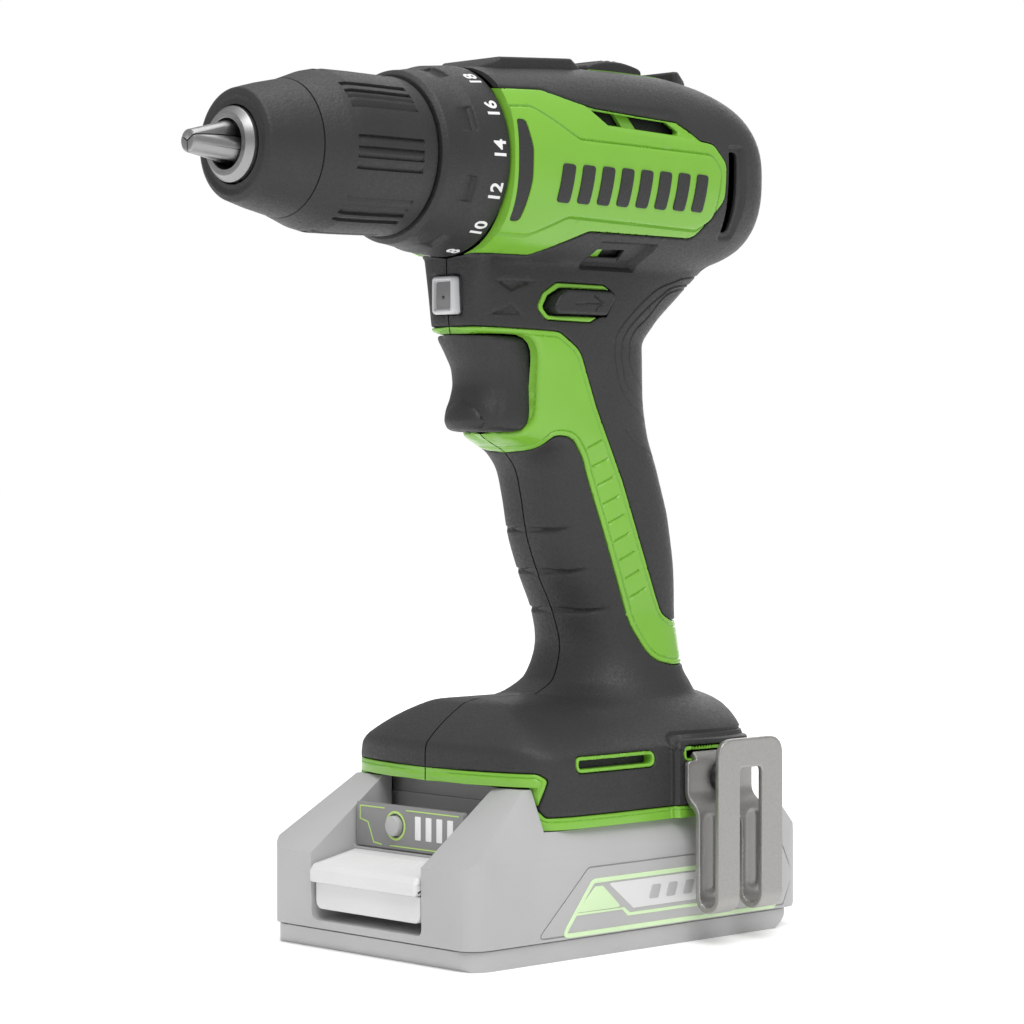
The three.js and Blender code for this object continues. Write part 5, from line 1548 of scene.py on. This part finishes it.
def screw_cup(name, x, z, face):
    """The dark well that a screw's head sits in, from below the head out to the body's wall."""
    around_hole = lambda extra: circle((x, z), SCREW_WELL_R + extra)
    wall = lambda flat: SEAM + half_width(*flat.T) - 0.9
    outer, bore, floor = around_hole(0.9), around_hole(-0.04), np.full(len(around_hole(0)), face - 2.5)
    stations = [(outer, floor - 0.9), (outer, wall(outer)), (bore, wall(bore)), (bore, floor)]
    cup = loft(name, [np.stack([flat[:, 0], y, flat[:, 1]], 1) for flat, y in stations])
    finish_piece(cup, "housing", "black_nylon")


def make_shields():
    """Dark parts that close the sight lines through the gap behind the collar and over the trigger."""
    ring = rounded([(-33.55, 19.2), (-33.55, 23.3), (-31.6, 23.3), (-31.6, 21.9), (-33.0, 21.9),
                    (-33.0, 19.2)], 0.1, 3)
    finish_piece(turned("collar_shield", resample(ring, 1), even_angles(160)), "housing", "black_nylon")
    roof = prism("trigger_roof", rectangle(-31.0, -5, -14.6, 5, 1.5, 6), 156.45, 159.8, facing_up)
    finish_piece(bevel(roof, 0.3), "housing", "black_nylon")


# ---------------------------------------------------------------- battery
RECESS_HALF = 20.8
SHOULDER = ((38.7, 25.5), (31.0, 43.0))  # (y, z) of the slanted upper edge of the case's sides


def prism(name, outline, low, high, place=on_side(1)):
    """A sharp-edged solid from a flat outline."""
    return loft(name, [place(np.asarray(outline, float), low), place(np.asarray(outline, float), high)])


def block(name, low, high, r=0.0):
    """A box between two corners, with its upright edges rounded where r is given."""
    outline = rectangle(low[0], low[1], high[0], high[1], r) if r else np.array(
        [(low[0], low[1]), (high[0], low[1]), (high[0], high[1]), (low[0], high[1])])
    return prism(name, outline, low[2], high[2], facing_up)


PACK_FACE = 38.7  # half the width of the battery case
PACK_LINE_DEPTH = 0.35  # depth of the engraved line on each of its sides


def make_battery_top():
    """The battery's upper case, with its rails, hollow, recess and slots."""
    seam = PACK_LOW[2]
    side_view = [(-60.4, seam), (-60.8, 9), (-61, 24.4), (-36.4, 42.4), (-33.4, 42.4), (-33.4, 32),
                 (55.4, 32), (61, 20.6), (61, 8.4), (57, seam)]
    case = prism("battery_case_moulding", side_view, -PACK_HIGH[1], PACK_HIGH[1])
    plan = prism("plan", rectangle(-61, -38.7, 61, 38.7, 8, 12), -5, 60, facing_up)
    boolean(case, [plan], "INTERSECT")
    (y1, z1), (y2, z2) = SHOULDER
    along_x = lambda flat, h: np.column_stack([np.full(len(flat), h), flat])
    for side in (-1, 1):
        corner = [(side * y1, z1), (side * y2, z2), (side * y2, 60), (side * 60, 60), (side * 60, z1)]
        slope = prism("slope", corner, -80, 80, along_x)
        boolean(case, [slope])
    rails = [block("rail", (-31, -26.4, 31), (42, 26.4, 38)), block("rail", (-30, -24, 37.5), (41, 24, 41.6))]
    for rail in rails:
        boolean(case, [rail], "UNION")
    cuts = [
        prism("hollow", [(-44, 0), (-44, 22.6), (-32, 22.6), (-32, 29.4), (50, 29.4), (57, 19.8), (57, 0)],
              -36.3, 36.3),
        prism("opening", rectangle(-RECESS_HALF, 7.4, RECESS_HALF, 60, 2.2, 6), 46.6, 80, facing_front),
        prism("shelf", rectangle(-RECESS_HALF, 25, RECESS_HALF, 60, 0.6, 3), 33, 50, facing_front),
        *[block("slot", (-16, y - 1.3, 37), (50, y + 1.3, 50)) for y in (-13, -6.5, 0, 6.5, 13)],
    ]
    for tool in cuts:
        boolean(case, [tool])
    for side in (-1, 1):
        recess = rounded([(-38.4, 6.2), (-20.5, 22.6, 2), (52, 22.6, 2), (56.5, 14, 2), (52.6, 6.2)], 1, 6)
        ring = prism("line", grown(recess, 0.2), PACK_FACE - PACK_LINE_DEPTH, 45, on_side(side))
        core = prism("line_core", grown(recess, -0.2), 30, 50, on_side(side))
        boolean(ring, [core])
        boolean(case, [ring])
    bevel(case, 0.7, 3, 28, 30)
    finish_piece(case, "battery", "pale_plastic", "battery_top_case")


def make_battery_bottom():
    """The battery's lower case."""
    seam = PACK_SEAM_Z
    side_view = [(-58.4, 0), (-60.2, 2), (-60.3, seam), (57.2, seam), (56.8, 4), (50, 0)]
    tray = prism("battery_tray_moulding", side_view, -38.2, 38.2)
    boolean(tray, [prism("plan", rectangle(-60.3, -38.2, 58, 38.2, 8, 12), -1, 9, facing_up)], "INTERSECT")
    boolean(tray, [block("hollow", (-43, -34, 2.4), (53, 34, 20))])
    for k in range(3):
        x = -30 + 30 * k
        boolean(tray, [prism("foot_line", rectangle(x, -30, x + 12, 30, 3, 6), -1, 0.5, facing_up)])
    bevel(tray, 0.5, 3, 28, 30)
    finish_piece(tray, "battery", "pale_plastic", "battery_bottom_case")


def make_release_button():
    """The battery's release button: its ledge and its pad."""
    low, high = cad("battery_release_button")
    half = high[1]
    view = rounded([(-62.4, 17.2, 0.8), (-62.4, 20.4, 0.8), (-61.2, 21.9, 1.2), (-47.2, 24.6, 0.4),
                    (-47.2, 17.2, 0.4)],
                   0.5, 6)
    view = resample(view, 0.9)
    ys = [-half, -half + 0.06, -half + 0.25, -half + 0.6, -half + 1.2]
    ribs = np.arange(-half + 2.6, half - 2.4, 0.26)
    stations = ys + list(ribs) + [-y for y in ys[::-1]]
    rings = []
    for y in stations:
        inset = 1.2 - math.sqrt(max(0, 1.2**2 - max(0, abs(y) - half + 1.2) ** 2))
        ring = grown(view, -inset * 0.9)
        wave = 0.5 + 0.5 * math.cos(y * 2 * math.pi / 1.56)
        ribbed = (ring[:, 1] > 21.3) & (ring[:, 0] > -60.8) & (ring[:, 0] < -49.5)
        ring = ring + np.stack([np.zeros(len(ring)), -0.3 * wave * ribbed * (abs(y) < half - 2.6)], 1)
        rings.append(np.stack([ring[:, 0], np.full(len(ring), y), ring[:, 1]], 1))
    ledge = loft("release_button_ledge", rings, 30)
    finish_piece(ledge, "release_button", "light_plastic", "battery_release_button")
    outline = rounded([(-19.7, low[2] + 0.5, 2.4), (19.7, low[2] + 0.5, 2.4), (19.7, 17.0, 0.4),
                       (-19.7, 17.0, 0.4)], 1, 8)
    pad = bevel(prism("release_button_pad", outline, 50, 60.3, facing_front), 0.6)
    finish_piece(pad, "release_button", "light_plastic")


GAUGE_Y, GAUGE_Z = 5.0, 31.4


def make_gauge():
    """The charge gauge: panel, button, rim and bars."""
    low, high = cad("gauge_panel")
    face = -low[0]
    panel = slab("gauge_panel_face", resample(rectangle(low[1] + 0.1, low[2], high[1] - 0.1, high[2], 0.8),
                                              1),
                 -high[0], face, facing_front, 0.15)
    boolean(panel, [slab("hole", circle((GAUGE_Y, GAUGE_Z), 3.0, 48), 40, 50, facing_front, 0.1)])
    smooth(panel, 30)
    finish_piece(panel, "battery", "black_nylon", "gauge_panel", material=GAUGE_GREY)
    button = circle((GAUGE_Y, GAUGE_Z), 2.6, 48)
    finish_piece(slab("gauge_button_cap", button, 45.2, 47.8, facing_front, 0.5), "gauge_button",
                 "pale_plastic", "gauge_button")
    rim = loft("gauge_button_rim", [facing_front(circle((GAUGE_Y, GAUGE_Z), r, 64), h) for r, h in (
        (3.15, face - 0.2), (3.15, face + 0.12), (3.3, face + 0.2), (3.6, face + 0.2), (3.75, face + 0.12),
        (3.75, face - 0.2))], 35, closed_loop=True)
    finish_piece(rim, "battery", "pale_plastic", material=GAUGE_GREEN)
    for k in range(4):
        y = -2.4 - k * 4.0
        bar = slab(f"gauge_bar_{k + 1}", rectangle(y - 2.1, 28.4, y, 34.4, 0.25, 4), face - 0.3, face + 0.12,
                   facing_front, 0.08)
        finish_piece(bar, "battery", "light_plastic", material=WHITE_INK)
    lines = [
        [(18.6, 35.6), (9.2, 35.6)], [(18.6, 35.6), (18.6, 32.2), (15.6, 31.6), (13.4, 26.6), (10.2, 26.2)],
        [(7.2, 26.2), (-18.6, 26.2)], [(1.0, 35.6), (-18.6, 35.6)],
    ]
    for k, line in enumerate(lines):
        band = ribbon(line, 0.32)
        piece = slab(f"gauge_line_{k + 1}", band, face - 0.3, face + 0.1, facing_front, 0.05)
        finish_piece(piece, "battery", "pale_plastic", material=GAUGE_GREEN)


def ribbon(line, width):
    """The outline of a narrow band along an open line."""
    line = np.asarray(line, float)
    normals = []
    for i in range(len(line)):
        dirs = [line[j + 1] - line[j] for j in (i - 1, i) if 0 <= j < len(line) - 1]
        units = [d / np.linalg.norm(d) for d in dirs]
        n = sum(np.array([u[1], -u[0]]) for u in units)
        n /= np.linalg.norm(n)
        normals.append(n / max(0.5, n @ np.array([units[0][1], -units[0][0]])))
    normals = np.array(normals)
    return resample(np.concatenate([line + normals * width / 2, (line - normals * width / 2)[::-1]]), 1.5)


def make_labels(side, label):
    """The outlined area on the case's side: thin bands and plates without lettering."""
    place = on_side(side)
    face = PACK_HIGH[1]
    outer = rounded([(-30.8, 5.6, 1.8), (-19.2, 19.6, 2.4), (36.4, 19.6, 2.4), (49.6, 8.6, 1.2),
                     (49.6, 5.6, 1.2)],
                    1, 6)
    outer = resample(outer, 1.2)
    inner = grown(outer, -1.15)
    stations = [(outer, face - 0.3), (outer, face + 0.1), (grown(outer, -0.15), face + 0.22),
                (grown(inner, 0.15), face + 0.22), (inner, face + 0.1), (inner, face - 0.3)]
    band = loft(f"label_frame_{label}", [place(flat, h) for flat, h in stations], 35, closed_loop=True)
    finish_piece(band, "battery", "pale_plastic", material=LABEL_GREEN)
    shapes = {
        "label_wedge": [(-15.6, 17.6, 0.8), (-18.3, 17.6, 0.8), (-25.0, 11.6, 0.4), (-8.9, 11.6, 0.6)],
        "label_rule": [(-25.6, 10.9, 0.2), (-8.6, 10.9, 0.4), (-6.6, 9.1, 0.4), (33, 9.1, 0.4),
                       (34.4, 10.3, 0.4), (33.6, 10.4, 0.3), (32.4, 9.9, 0.2), (-5.9, 9.9, 0.3),
                       (-7.9, 11.4, 0.3), (-25, 11.5, 0.2)],
        "label_tail": [(39.8, 14.2, 0.5), (35.4, 9.2, 0.4), (46.6, 8.0, 0.4)],
    }
    for name, shape in shapes.items():
        flat = resample(rounded(shape, 0.4, 4), 1.2)
        piece = slab(f"{name}_{label}", flat, face - 0.3, face + 0.18, place, 0.08)
        finish_piece(piece, "battery", "pale_plastic", material=LABEL_GREEN)
    plate = rounded([(-13.6, 18.0, 0.5), (-4.6, 10.9, 0.5), (32.4, 10.9, 0.5), (38.6, 17.4, 0.5),
                     (38.0, 18.0, 0.5)], 1, 5)
    piece = slab(f"label_plate_{label}", resample(plate, 1.2), face - 0.3, face + 0.16, place, 0.08)
    finish_piece(piece, "battery", "light_plastic")
    for k in range(5):
        x = 1.0 + k * 6.2
        bar = rounded([(x, 12.7), (x + 3.4, 12.7), (x + 4.6, 16.2), (x + 1.2, 16.2)], 0.5, 4)
        piece = slab(f"label_bar_{k + 1}_{label}", bar, face - 0.2, face + 0.3, place, 0.1)
        finish_piece(piece, "battery", "pale_plastic")


# Dark grey of painted shade, for the lamp's dim inside seen through its clear lens.
LAMP_PAINTED_SHADE = plastic("lamp_painted_shade_pane", (0.2, 0.2, 0.2), 0.15, 1.2, 0.002, 0.05)
WHITE_INK = plastic("white_ink", (0.85, 0.85, 0.85), 0.4, 3.0, 0.004, 0.02)
LABEL_GREEN = plastic("pale_green_label", (0.66, 0.85, 0.52), 0.42, 2.6, 0.004, 0.03)
GAUGE_GREEN = plastic("bright_green_line", (0.5, 0.72, 0.2), 0.42, 2.6, 0.004, 0.03)
GAUGE_GREY = plastic("gauge_panel_grey", (0.25, 0.25, 0.25), 0.45, 2.6, 0.01, 0.04)
JAW_STEEL = metal("ground_steel", (0.34, 0.34, 0.34), 0.34, (8, 0.6, 8), 0.003)
CLIP_STEEL = metal("blasted_steel", (0.42, 0.41, 0.4), 0.5, (2.2, 2.2, 2.2), 0.012, 0.1)

make_chuck()
make_collar()
make_trigger()
make_direction_button()
make_selector()
make_selector_tray()
make_crown()
make_lamp()
for side, label in ((-1, "left"), (1, "right")):
    make_body_marks(side, label)
    make_labels(side, label)
plan_slab("trigger_opening_roof", 156.9, 158.2, -31.5, -8, 1.2, "green_plastic")
plan_slab("trigger_opening_floor", 129.2, 130.5, -19, -8, 1.2, "green_plastic")
make_clip()
screw_head("clip_screw_head", *CLIP_SCREW, 43.6, 4.2, 2.8, -1, "dark_steel", "belt_clip_screw", 6.5)
make_shields()
for i, (x, z) in enumerate(SCREWS, 1):
    high = cad(f"housing_screw_{i}")[1]
    screw_cup(f"body_screw_cup_{i}", x, z, high[1])
    screw_head(f"body_screw_head_{i}", x, z, high[1], 3.1, 2.1, 1, "dark_steel", f"housing_screw_{i}", 12)
make_battery_top()
make_battery_bottom()
make_release_button()
make_gauge()


# ---------------------------------------------------------------- stage, light and camera
AMBIENT = 0.5  # the studio's brightness on the object; the camera itself sees it white


def area_light(name, place, target, size, power, colour=(1, 1, 1)):
    """A rectangular light at a place, facing a target."""
    data = bpy.data.lights.new(name, "AREA")
    data.shape = "RECTANGLE"
    data.size, data.size_y = size
    data.energy = power
    data.color = colour
    lamp = bpy.data.objects.new(name, data)
    bpy.context.scene.collection.objects.link(lamp)
    lamp.location = place
    lamp.rotation_euler = (Vector(target) - Vector(place)).to_track_quat("-Z", "Y").to_euler()
    return lamp


def make_stage():
    """The floor, the surroundings and the lights."""
    size = 6.0
    mesh = bpy.data.meshes.new("floor")
    mesh.from_pydata([(-size, -size, 0), (size, -size, 0), (size, size, 0), (-size, size, 0)], [],
                     [(0, 1, 2, 3)])
    floor = bpy.data.objects.new("floor", mesh)
    bpy.context.scene.collection.objects.link(floor)
    material, shader = new_material("pale_floor", 0.8)
    shader.inputs["Base Color"].default_value = (0.96, 0.96, 0.96, 1)
    shader.inputs["Emission Color"].default_value = (1, 1, 1, 1)
    shader.inputs["Emission Strength"].default_value = 0.16
    floor.data.materials.append(material)
    world = bpy.data.worlds.new("studio")
    world.use_nodes = True
    nodes, links = world.node_tree.nodes, world.node_tree.links
    path = nodes.new("ShaderNodeLightPath")
    strength = nodes.new("ShaderNodeMapRange")
    strength.inputs["To Min"].default_value = AMBIENT
    strength.inputs["To Max"].default_value = 1.0
    links.new(path.outputs["Is Camera Ray"], strength.inputs["Value"])
    links.new(strength.outputs["Result"], nodes["Background"].inputs["Strength"])
    nodes["Background"].inputs["Color"].default_value = (1, 1, 1, 1)
    bpy.context.scene.world = world
    sun = bpy.data.lights.new("sun", "SUN")
    sun.energy = 1.7
    sun.angle = math.radians(40)
    lamp = bpy.data.objects.new("sun", sun)
    bpy.context.scene.collection.objects.link(lamp)
    lamp.rotation_euler = Vector((0.55, 0.75, -1.5)).to_track_quat("-Z", "Y").to_euler()
    area_light("top", (0.1, 0.1, 1.2), (0, 0, 0.1), (0.8, 0.8), 4)
    area_light("rim", (0.9, 0.5, 0.5), (0.02, 0, 0.15), (0.5, 0.9), 3)


def make_camera():
    """The camera that repeats the fitted view."""
    azimuth, elevation, away = math.radians(-43.83), math.radians(1.178), 0.845
    target = Vector((-0.010, 0, 0.11073))
    back = Vector((math.sin(azimuth) * math.cos(elevation), -math.cos(azimuth) * math.cos(elevation),
                   math.sin(elevation)))
    data = bpy.data.cameras.new("camera")
    data.sensor_width = 36
    data.lens = 114.15
    data.clip_start = 0.05
    data.clip_end = 50
    camera = bpy.data.objects.new("camera", data)
    bpy.context.scene.collection.objects.link(camera)
    camera.location = target + back * away
    camera.rotation_euler = (-back).to_track_quat("-Z", "Y").to_euler()
    bpy.context.scene.camera = camera


make_stage()
make_camera()
bpy.context.scene.view_settings.view_transform = "Standard"

bpy.context.view_layer.update()
